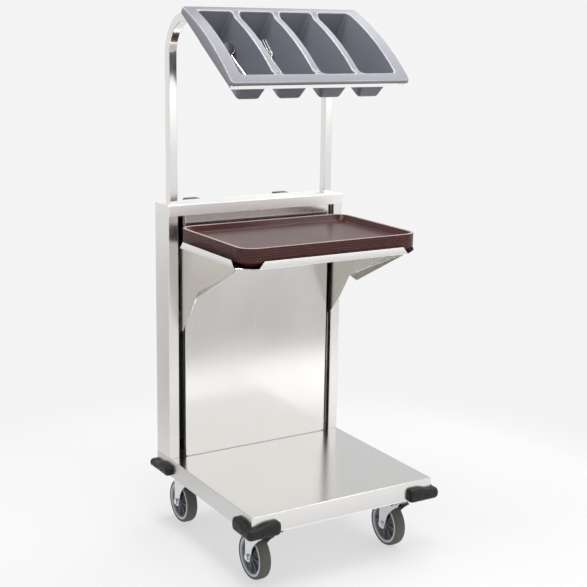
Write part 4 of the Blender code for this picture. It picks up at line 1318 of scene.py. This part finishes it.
# %% Plate and axle
PLATE_LOW, PLATE_HIGH = (-0.050, -0.042, 0.155), (0.050, 0.042, 0.158)
PLATE_CORNER = 0.014
STUD_X, STUD_Y = 0.040, 0.030
STUD_LEVEL, STUD_RADIUS, STUD_LENGTH = 0.1495, 0.0038, 0.007
NUT_RADIUS, NUT_DEPTH = 0.0068, 0.005
RACE_LEVEL, RACE_RADIUS, RACE_TOP = 0.1525, 0.029, 0.0335
KINGPIN_LEVEL, KINGPIN_RADIUS, KINGPIN_DEPTH = 0.1440, 0.0105, 0.006
AXLE_RADIUS, AXLE_LENGTH = 0.005, 0.052
AXLE_NUT_PLACE, AXLE_NUT_RADIUS = 0.0249, 0.0088
WASHER_PLACE, WASHER_RADIUS, WASHER_DEPTH = 0.0226, 0.0098, 0.0008


def plate_shape():
    shape = bmesh.new()
    placed_box(shape, PLATE_LOW, PLATE_HIGH)
    upright = [edge for edge in shape.edges
               if abs(edge.verts[0].co.z - edge.verts[1].co.z) > FIT]
    round_off(shape, upright, PLATE_CORNER, 6)
    disc(shape, (0, 0, RACE_LEVEL), ALONG_Z, RACE_RADIUS, NUT_DEPTH, CUP_STEPS, RACE_TOP)
    disc(shape, (0, 0, KINGPIN_LEVEL), ALONG_Z, KINGPIN_RADIUS, KINGPIN_DEPTH, 6)
    for x in (-STUD_X, STUD_X):
        for y in (-STUD_Y, STUD_Y):
            disc(shape, (x, y, RACE_LEVEL), ALONG_Z, NUT_RADIUS, NUT_DEPTH, 6)
            disc(shape, (x, y, STUD_LEVEL), ALONG_Z, STUD_RADIUS, STUD_LENGTH, 16)
    return shape


def axle_shape():
    shape = bmesh.new()
    disc(shape, (0, 0, 0), ALONG_X, AXLE_RADIUS, AXLE_LENGTH, 20)
    for side in (-1, 1):
        disc(shape, (side * AXLE_NUT_PLACE, 0, 0), ALONG_X, AXLE_NUT_RADIUS, NUT_DEPTH, 6)
        disc(shape, (side * WASHER_PLACE, 0, 0), ALONG_X, WASHER_RADIUS, WASHER_DEPTH)
    return shape


# %% [markdown]
# ## Four castors
#
# The four castors are alike, so one loop builds them. The plate is bolted to the chassis. The
# fork and the axle swivel. Wheel, hub and tyre roll on the axle. Each shape is drawn about its
# own axis and then moved into place in its mesh.

# %% Castors in place
SOFT_EDGE = 0.0006

for corner in ("front_left", "front_right", "rear_left", "rear_right"):
    stem = f"castor_{corner}"
    low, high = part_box(f"{stem}_plate")
    swivel = Vector(((low.x + high.x) / 2, (low.y + high.y) / 2, 0))
    low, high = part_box(f"{stem}_tyre")
    axle = (low + high) / 2
    for word, shape, place, finish, body, slot in (
            # The plate takes the zinc darkened as painted shade.
            ("plate", plate_shape(), swivel, zinc_with_painted_shade, "chassis", "zinc"),
            ("fork", fork_shape(), swivel, zinc_plate, f"swivel_{corner}", "zinc"),
            ("axle", axle_shape(), axle, zinc_plate, f"swivel_{corner}", "zinc"),
            ("wheel", rim_shape(), axle, rim_plastic, f"wheel_{corner}", "rim_plastic"),
            ("hub", hub_shape(), axle, hub_plastic, f"wheel_{corner}", "rim_plastic"),
            ("tyre", tyre_shape(), axle, tyre_rubber, f"wheel_{corner}", "tyre")):
        bmesh.ops.translate(shape, verts=shape.verts, vec=place)
        edge = SOFT_EDGE if word in ("plate", "fork", "axle") else 0
        stands_for = [f"{stem}_{word}"] if word != "hub" else []
        piece(f"{stem}_{word}_dressed", shape, finish, body, stands_for, edge=edge)

# %% [markdown]
# ## Lift springs
#
# Two long coil springs inside the tower hold the carriage up. A stack of rings would look like a
# coil only from afar. A small circle of wire, spun about the spring's axis with a little rise at
# each step, makes a true one. It bends between the chassis and the carriage, so it stretches as
# trays weigh the carriage down.

# %% Coils
WIRE = 0.0011
COIL_TURNS = 60
STEPS_PER_TURN = 14


def coil_shape(low, high):
    middle = (low + high) / 2
    radius = (high.x - low.x) / 2 - WIRE
    rise = high.z - low.z - 2 * WIRE
    steps = COIL_TURNS * STEPS_PER_TURN
    start = Matrix.Translation((middle.x + radius, middle.y, low.z + WIRE))
    shape = bmesh.new()
    made = bmesh.ops.create_circle(shape, cap_ends=True, segments=7, radius=WIRE,
                                   matrix=start @ turned_to((0, 1, 0)))
    face = made["verts"][0].link_faces[0]
    bmesh.ops.spin(shape, geom=[face], cent=(middle.x, middle.y, low.z), axis=ALONG_Z,
                   dvec=(0, 0, rise / steps), angle=math.tau * COIL_TURNS, steps=steps)
    bmesh.ops.recalc_face_normals(shape, faces=shape.faces)
    return shape


for hand in ("left", "right"):
    low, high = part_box(f"lift_spring_{hand}")
    middle = (low + high) / 2
    coil = stored(f"lift_coil_{hand}", coil_shape(low, high), spring_wire, sharp_degrees=180)
    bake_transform(coil, "chassis", "carriage", start=(middle.x, middle.y, high.z),
             end=(middle.x, middle.y, low.z))
    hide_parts(f"lift_spring_{hand}")

# %% [markdown]
# ## Push handle
#
# Behind the cap a steel bar runs through two black brackets, for pushing the trolley. Each bracket
# is a block with a rounded crown and two screws in its back. A Bevel modifier would round all its
# edges alike. Two bevels, a wide one for the crown and a narrow one for the other edges, shape it
# as its mould does. The bar is a round tube with plugged ends, so its profile is spun, with a fine
# groove where each plug begins.

# %% Screw heads
HEAD_TAPER = 0.78
SOCKET_INSET = 0.34
SOCKET_DEPTH = 0.55


def button_head(shape, centre, direction, radius, height):
    """Add a screw's head: a low button with a socket sunk in its top."""
    made = disc(shape, centre, direction, radius, height, 20, radius * HEAD_TAPER)
    outward = Vector(direction).normalized()
    caps = {face for corner in made["verts"] for face in corner.link_faces
            if len(face.verts) > 4}
    top = max(caps, key=lambda face: face.calc_center_median().dot(outward))
    bmesh.ops.inset_region(shape, faces=[top], thickness=radius * SOCKET_INSET,
                           use_even_offset=True)
    bmesh.ops.translate(shape, verts=top.verts, vec=outward * -height * SOCKET_DEPTH)


# %% Brackets
BRACKET_CROWN = 0.006
BRACKET_ROUND = 0.0022
BRACKET_SCREW, BRACKET_SCREW_HEIGHT = 0.0042, 0.0012
SCREW_RISE = 0.021
SEATED = 0.0002


def bracket_shape(name):
    low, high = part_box(name)
    high.z += BRACKET_CROWN
    middle = (low + high) / 2
    shape = bmesh.new()
    placed_box(shape, low, high)
    crown = [edge for edge in shape.edges
             if all(corner.co.z > high.z - FIT for corner in edge.verts)
             and abs(edge.verts[0].co.y - edge.verts[1].co.y) > FIT]
    round_off(shape, crown, BRACKET_CROWN, 4)
    round_off(shape, folds_of(shape), BRACKET_ROUND, 3)
    for rise in (-SCREW_RISE, SCREW_RISE):
        button_head(shape, (middle.x, high.y - SEATED, middle.z + rise), (0, 1, 0),
                    BRACKET_SCREW, BRACKET_SCREW_HEIGHT)
    return shape


for name in ("handle_bracket_left", "handle_bracket_right"):
    piece(f"{name}_block", bracket_shape(name), bracket_plastic, "chassis",
          [name])

# %% Bar
END_ROUND = 0.004
GROOVE_AT = 0.0076
GROOVE = 0.0006
END_ROUND_STEPS, BAR_STEPS = 5, 40


def bar_shape():
    low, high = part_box("handle_bar")
    half, radius = (high.x - low.x) / 2, (high.z - low.z) / 2
    end = [(0.0, half), (radius - END_ROUND, half)]
    for step in range(1, END_ROUND_STEPS + 1):
        angle = math.pi / 2 * step / END_ROUND_STEPS
        end.append((radius - END_ROUND * (1 - math.sin(angle)),
                    half - END_ROUND * (1 - math.cos(angle))))
    for inward, depth in ((GROOVE_AT - GROOVE, 0), (GROOVE_AT, GROOVE), (GROOVE_AT + GROOVE, 0)):
        end.append((radius - depth, half - inward))
    shape = turned(both_sides(end), BAR_STEPS, closed=False)
    bmesh.ops.translate(shape, verts=shape.verts, vec=(low + high) / 2)
    return shape


piece("handle_tube", bar_shape(), steel_tube, "chassis", ["handle_bar"])

# %% [markdown]
# ## Screws
#
# Small button screws hold the bin's bars to the arms, and dark screws sit low in each bumper.
# They are too small for the CAD model and still catch the eye, because their heads glint. They
# could be dots in a material, but a real head has a rim and a socket. All use the same button
# head, placed from the frame of the bin and from each bumper's box.

# %% Screws of the bin's frame
FRAME_SCREW_PLACES = (-0.252, -0.241, 0.241, 0.252)
FRAME_SCREW_DROP = 0.015
FRAME_SCREW, FRAME_SCREW_HEIGHT = 0.0032, 0.0016
FRAME_SCREW_OUT = 0.0007

front_face = -BIN_LENGTH / 2 + 2 * BIN_WALL + FIT
forwards = bin_frame.to_3x3() @ Vector((0, -1, 0))
shape = bmesh.new()
for across in FRAME_SCREW_PLACES:
    centre = bin_frame @ Vector((across, front_face - FRAME_SCREW_OUT, -FRAME_SCREW_DROP))
    button_head(shape, centre, forwards, FRAME_SCREW, FRAME_SCREW_HEIGHT)
piece("frame_screws", shape, zinc_plate, "chassis")

# %% Screws of the bumpers
SCREW = 0.0030
SCREW_LEVEL = 0.36
SCREW_INSET = 0.010
SCREW_SHARES = (0.30, 0.62)

for name in BUMPERS:
    low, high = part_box(name)
    side_x, side_y = bumper_sides(name)
    outer_x, outer_y = corner_of(name, side_x, side_y)
    level = low.z + (high.z - low.z) * SCREW_LEVEL
    shape = bmesh.new()
    for share in SCREW_SHARES:
        inner_x = outer_x - side_x * ((high.x - low.x) * share + SCREW_INSET)
        inner_y = outer_y - side_y * ((high.y - low.y) * share + SCREW_INSET)
        button_head(shape, (inner_x, outer_y, level), (0, side_y, 0), SCREW, SCREW)
        button_head(shape, (outer_x, inner_y, level), (side_x, 0, 0), SCREW, SCREW)
    piece(f"{name}_screws", shape, screw_black, "chassis")

# %% [markdown]
# ## Spoon and fork
#
# A spoon lies in the first pocket and a fork in the second. They are loose contents, so they ride
# with the bin and leave with it. Real ones are stamped from flat sheet, and the same order works
# here: a flat blank from rows of points along the middle line, then bent by moving its points up
# or down, and given its thickness by Solidify. The fork's tines are slim bars on the blank's end.

# %% Cutlery blanks
SHAFT = [(-0.105, 0.0085), (-0.100, 0.0102), (-0.085, 0.0098), (-0.045, 0.0060),
         (0.0, 0.0038), (0.030, 0.0036)]
SPOON_HEAD = [(0.040, 0.0050), (0.046, 0.0120), (0.056, 0.0185), (0.068, 0.0215),
              (0.080, 0.0205), (0.090, 0.0150), (0.095, 0.0070)]
FORK_HEAD = [(0.038, 0.0060), (0.044, 0.0110), (0.054, 0.0130), (0.060, 0.0130)]


def blank(half_outline):
    """A flat shape lying along y, from pairs of a place along y and the half width there."""
    shape = bmesh.new()
    rows = []
    for along, half in half_outline:
        rows.append([shape.verts.new((across * half, along, 0))
                     for across in (-1, -0.5, 0, 0.5, 1)])
    for row in rows:
        for pair in zip(row, row[1:]):
            shape.edges.new(pair)
    for before, after in zip(rows, rows[1:]):
        near = [shape.edges.get(pair) for pair in zip(before, before[1:])]
        far = [shape.edges.get(pair) for pair in zip(after, after[1:])]
        for pair in zip(near, far):
            bmesh.ops.contextual_create(shape, geom=list(pair))
    return shape


# %% Spoon
BOWL_MIDDLE = 0.068
BOWL_HALF_WIDTH, BOWL_HALF_LENGTH = 0.0215, 0.030
BOWL_DEPTH = 0.008
NECK_RISE = 0.006
NECK_START, NECK_EASE, NECK_END = -0.02, 0.06, 0.045


def spoon_shape():
    shape = blank(SHAFT + SPOON_HEAD)
    for corner in shape.verts:
        x, y = corner.co.x, corner.co.y
        reach = (x / BOWL_HALF_WIDTH) ** 2 + ((y - BOWL_MIDDLE) / BOWL_HALF_LENGTH) ** 2
        corner.co.z -= BOWL_DEPTH * max(0.0, 1 - reach)
        if y < NECK_END:
            corner.co.z += NECK_RISE * math.sin(max(0.0, (y - NECK_START) / NECK_EASE))
    return shape


# %% Fork
TINES = 4
TINE_PITCH = 0.0070
TINE_HALF = 0.0014
TINE_FROM, TINE_TO = 0.060, 0.098
TINE_UNDER, TINE_OVER = 0.0004, 0.0008
FORK_BEND = 0.010
BEND_FROM, BEND_LENGTH = 0.03, 0.068


def table_fork_shape():
    shape = blank(SHAFT + FORK_HEAD)
    for number in range(TINES):
        middle = TINE_PITCH * (number - (TINES - 1) / 2)
        placed_box(shape, (middle - TINE_HALF, TINE_FROM, -TINE_UNDER),
                   (middle + TINE_HALF, TINE_TO, TINE_OVER))
    for corner in shape.verts:
        share = max(0.0, (corner.co.y - BEND_FROM) / BEND_LENGTH)
        corner.co.z += FORK_BEND * share ** 2
    return shape


# %% Laid in the bin
CUTLERY_SHEET = 0.0012

for name, shape, centre, turn, lean in (
        ("spoon", spoon_shape(), (-0.1640, -0.010, -0.060), -1, -48),
        ("fork", table_fork_shape(), (-0.0465, -0.004, -0.066), -3, -18)):
    turned_flat = Matrix.Rotation(math.radians(turn), 4, "Z")
    leant = Matrix.Rotation(math.radians(lean), 4, "Y")
    bmesh.ops.transform(shape, verts=shape.verts,
                        matrix=bin_frame @ Matrix.Translation(centre) @ turned_flat @ leant)
    bmesh.ops.recalc_face_normals(shape, faces=shape.faces)
    piece(name, shape, bright_steel, "bin", wall=CUTLERY_SHEET)

# %% [markdown]
# ## Studio paper
#
# The trolley stands on white paper that runs off into an equally white background. Steel shows
# mostly what it reflects, so the paper does two jobs. The camera sees it plain and evenly bright.
# Reflections see brighter and darker patches of it, placed where a studio has its white boards and
# its dark corners. The Light Path node tells the two apart. The paper glows, everywhere at least
# 62 parts in a hundred, so it also lights the trolley from below. Close by, the rest of it is a lit
# surface, so that it takes the trolley's soft shadow.

# %% Places on the paper
BACKDROP = (0.90, 0.90, 0.905, 1)
LIT_PAPER = (0.80, 0.80, 0.802, 1)
WHITE_BOARD = (1.42, 1.41, 1.39, 1)
DIM_FRONT = (0.60, 0.595, 0.59, 1)
DIM_CORNER = (0.58, 0.56, 0.54, 1)
NEAR_FRONT = (-0.45, -0.75, -1.12, -1.32)
FAR_FRONT = (-1.15, -1.45, -2.9, -3.5)
CORNER_SLANT = 0.32
CORNER_LEFT, CORNER_NEAR, CORNER_BEHIND = (-0.12, -0.42), (4.6, 4.0), (0.2, 0.7)


def soft_step(tree, value, low, high):
    """Nought before low and one beyond high, with a soft rise between them."""
    limits = {0: value, 1: low, 2: high}
    return node(tree, "ShaderNodeMapRange", limits, interpolation_type="SMOOTHSTEP").outputs[0]


def band(tree, value, begins, full, fades, ends):
    """A band that begins and ends softly."""
    rising = soft_step(tree, value, begins, full)
    return maths(tree, "MULTIPLY", rising, soft_step(tree, value, ends, fades))


def plain_to_camera(tree, colour):
    """The camera sees the plain backdrop, and reflections see the given colour."""
    seen = node(tree, "ShaderNodeLightPath").outputs["Is Camera Ray"]
    return blend_colour(tree, seen, colour, BACKDROP)


def paper_colour(tree, place, away):
    """The paper's brightness by place: two bands in front and a corner behind on the left."""
    parts = node(tree, "ShaderNodeSeparateXYZ", {0: place}).outputs
    x, y = parts["X"], parts["Y"]
    colour = blend_colour(tree, band(tree, y, *FAR_FRONT), BACKDROP, DIM_FRONT)
    colour = blend_colour(tree, band(tree, y, *NEAR_FRONT), colour, WHITE_BOARD)
    slant = maths(tree, "ADD", x, maths(tree, "MULTIPLY", y, CORNER_SLANT))
    left = soft_step(tree, slant, *CORNER_LEFT)
    near_left = maths(tree, "MULTIPLY", left, soft_step(tree, away, *CORNER_NEAR))
    behind_left = maths(tree, "MULTIPLY", near_left, soft_step(tree, y, *CORNER_BEHIND))
    return blend_colour(tree, behind_left, colour, DIM_CORNER)


# %% Floor
FLOOR_HALF = 12
PAPER_ROUGHNESS = 0.7
GLOW_BEGINS, GLOW_FULL = 0.6, 1.5
LEAST_GLOW = 0.62


def make_paper():
    made, tree, shader = new_finish("studio paper")
    shader.inputs["Roughness"].default_value = PAPER_ROUGHNESS
    shader.inputs["Base Color"].default_value = LIT_PAPER
    place = node(tree, "ShaderNodeTexCoord").outputs["Object"]
    away = node(tree, "ShaderNodeVectorMath", {0: place}, operation="LENGTH").outputs["Value"]
    colour = plain_to_camera(tree, paper_colour(tree, place, away))
    glow = node(tree, "ShaderNodeEmission", {"Color": colour})
    far = maths(tree, "MAXIMUM", soft_step(tree, away, GLOW_BEGINS, GLOW_FULL), LEAST_GLOW)
    mixed = node(tree, "ShaderNodeMixShader", {0: far, 1: shader.outputs[0], 2: glow.outputs[0]})
    tree.links.new(mixed.outputs[0], tree.nodes["Material Output"].inputs["Surface"])
    return made


shape = bmesh.new()
bmesh.ops.create_grid(shape, x_segments=1, y_segments=1, size=FLOOR_HALF)
stored("studio_floor", shape, make_paper())

# %% [markdown]
# ## World and lamps
#
# The world is the rest of the studio: a dim ceiling, which steel that faces upwards reflects, and a
# bright wall to the front right. A photograph of a studio could stand in for them, but two soft
# steps between plain colours are easier to tune. Four area lamps overhead light the plastic, the
# trays and the floor. They are large, because large lamps give soft shadows.

# %% World
CEILING = (0.36, 0.36, 0.37, 1)
BRIGHT_WALL = (1.50, 1.49, 1.47, 1)
WALL_DIRECTION = (0.50, -0.83, 0.22)
CEILING_BEGINS, CEILING_FULL = 0.45, 0.72
WALL_BEGINS, WALL_FULL = 0.75, 0.93

world = bpy.data.worlds.new("studio")
scene.world = world
world.use_nodes = True
tree = world.node_tree
direction = node(tree, "ShaderNodeTexCoord").outputs["Generated"]
towards = node(tree, "ShaderNodeVectorMath", {0: direction, 1: WALL_DIRECTION},
               operation="DOT_PRODUCT").outputs["Value"]
height = node(tree, "ShaderNodeSeparateXYZ", {0: direction}).outputs["Z"]
ceiling = soft_step(tree, height, CEILING_BEGINS, CEILING_FULL)
above = blend_colour(tree, ceiling, BACKDROP, CEILING)
wall = soft_step(tree, towards, WALL_BEGINS, WALL_FULL)
around = blend_colour(tree, wall, above, BRIGHT_WALL)
tree.links.new(plain_to_camera(tree, around), tree.nodes["Background"].inputs["Color"])
print("world of", len(tree.nodes), "nodes")


# %% Soft lamps
def soft_lamp(name, place, aim, size, power):
    light = bpy.data.lights.new(name, "AREA")
    light.shape = "RECTANGLE"
    light.size, light.size_y = size
    light.energy = power
    lamp = bpy.data.objects.new(name, light)
    lamp.location = place
    lamp.rotation_euler = (Vector(aim) - Vector(place)).to_track_quat("-Z", "Y").to_euler()
    scene.collection.objects.link(lamp)
    print(name, power, "W")


soft_lamp("key_lamp", (-0.35, -0.9, 3.3), (0, 0, 1.0), (1.3, 1.2), 40)
soft_lamp("wide_lamp", (1.3, 0.30, 3.2), (0, 0, 1.2), (2.2, 1.7), 42)
soft_lamp("edge_lamp", (-0.7, 0.25, 3.2), (0, 0, 1.2), (0.8, 0.8), 30)
soft_lamp("front_lamp", (1.6, -1.8, 3.1), (0, 0, 1.0), (0.8, 0.8), 8)

# %% [markdown]
# ## Camera
#
# The camera stands at the photograph's own angle, which was found by fitting it to the trolley's
# straight edges. A camera that is only aimed at a point stays level, and the photograph leans a
# little. So the camera's three axes are worked out from its turn, rise and roll, and put in its
# matrix. The Standard view keeps whites white.

# %% Camera at the photograph's angle
LENS = 73.04
CAMERA_PLACE = (-1.6425, -2.70065, 1.4287)
turn, rise, roll = math.radians(-31.4948), math.radians(12.9447), math.radians(0.9176)

camera_data = bpy.data.cameras.new("camera")
camera_data.lens = LENS
camera_data.sensor_width = 36
camera = bpy.data.objects.new("camera", camera_data)
scene.collection.objects.link(camera)
back = Vector((math.sin(turn) * math.cos(rise), -math.cos(turn) * math.cos(rise),
               math.sin(rise)))
level = Vector((math.cos(turn), math.sin(turn), 0))
upright = back.cross(level)
right = level * math.cos(roll) + upright * math.sin(roll)
up = upright * math.cos(roll) - level * math.sin(roll)
axes = Matrix((right, up, back)).transposed().to_4x4()
camera.matrix_world = Matrix.Translation(CAMERA_PLACE) @ axes
scene.camera = camera
scene.view_settings.view_transform = "Standard"
print("lens", round(camera_data.lens, 2), "mm")
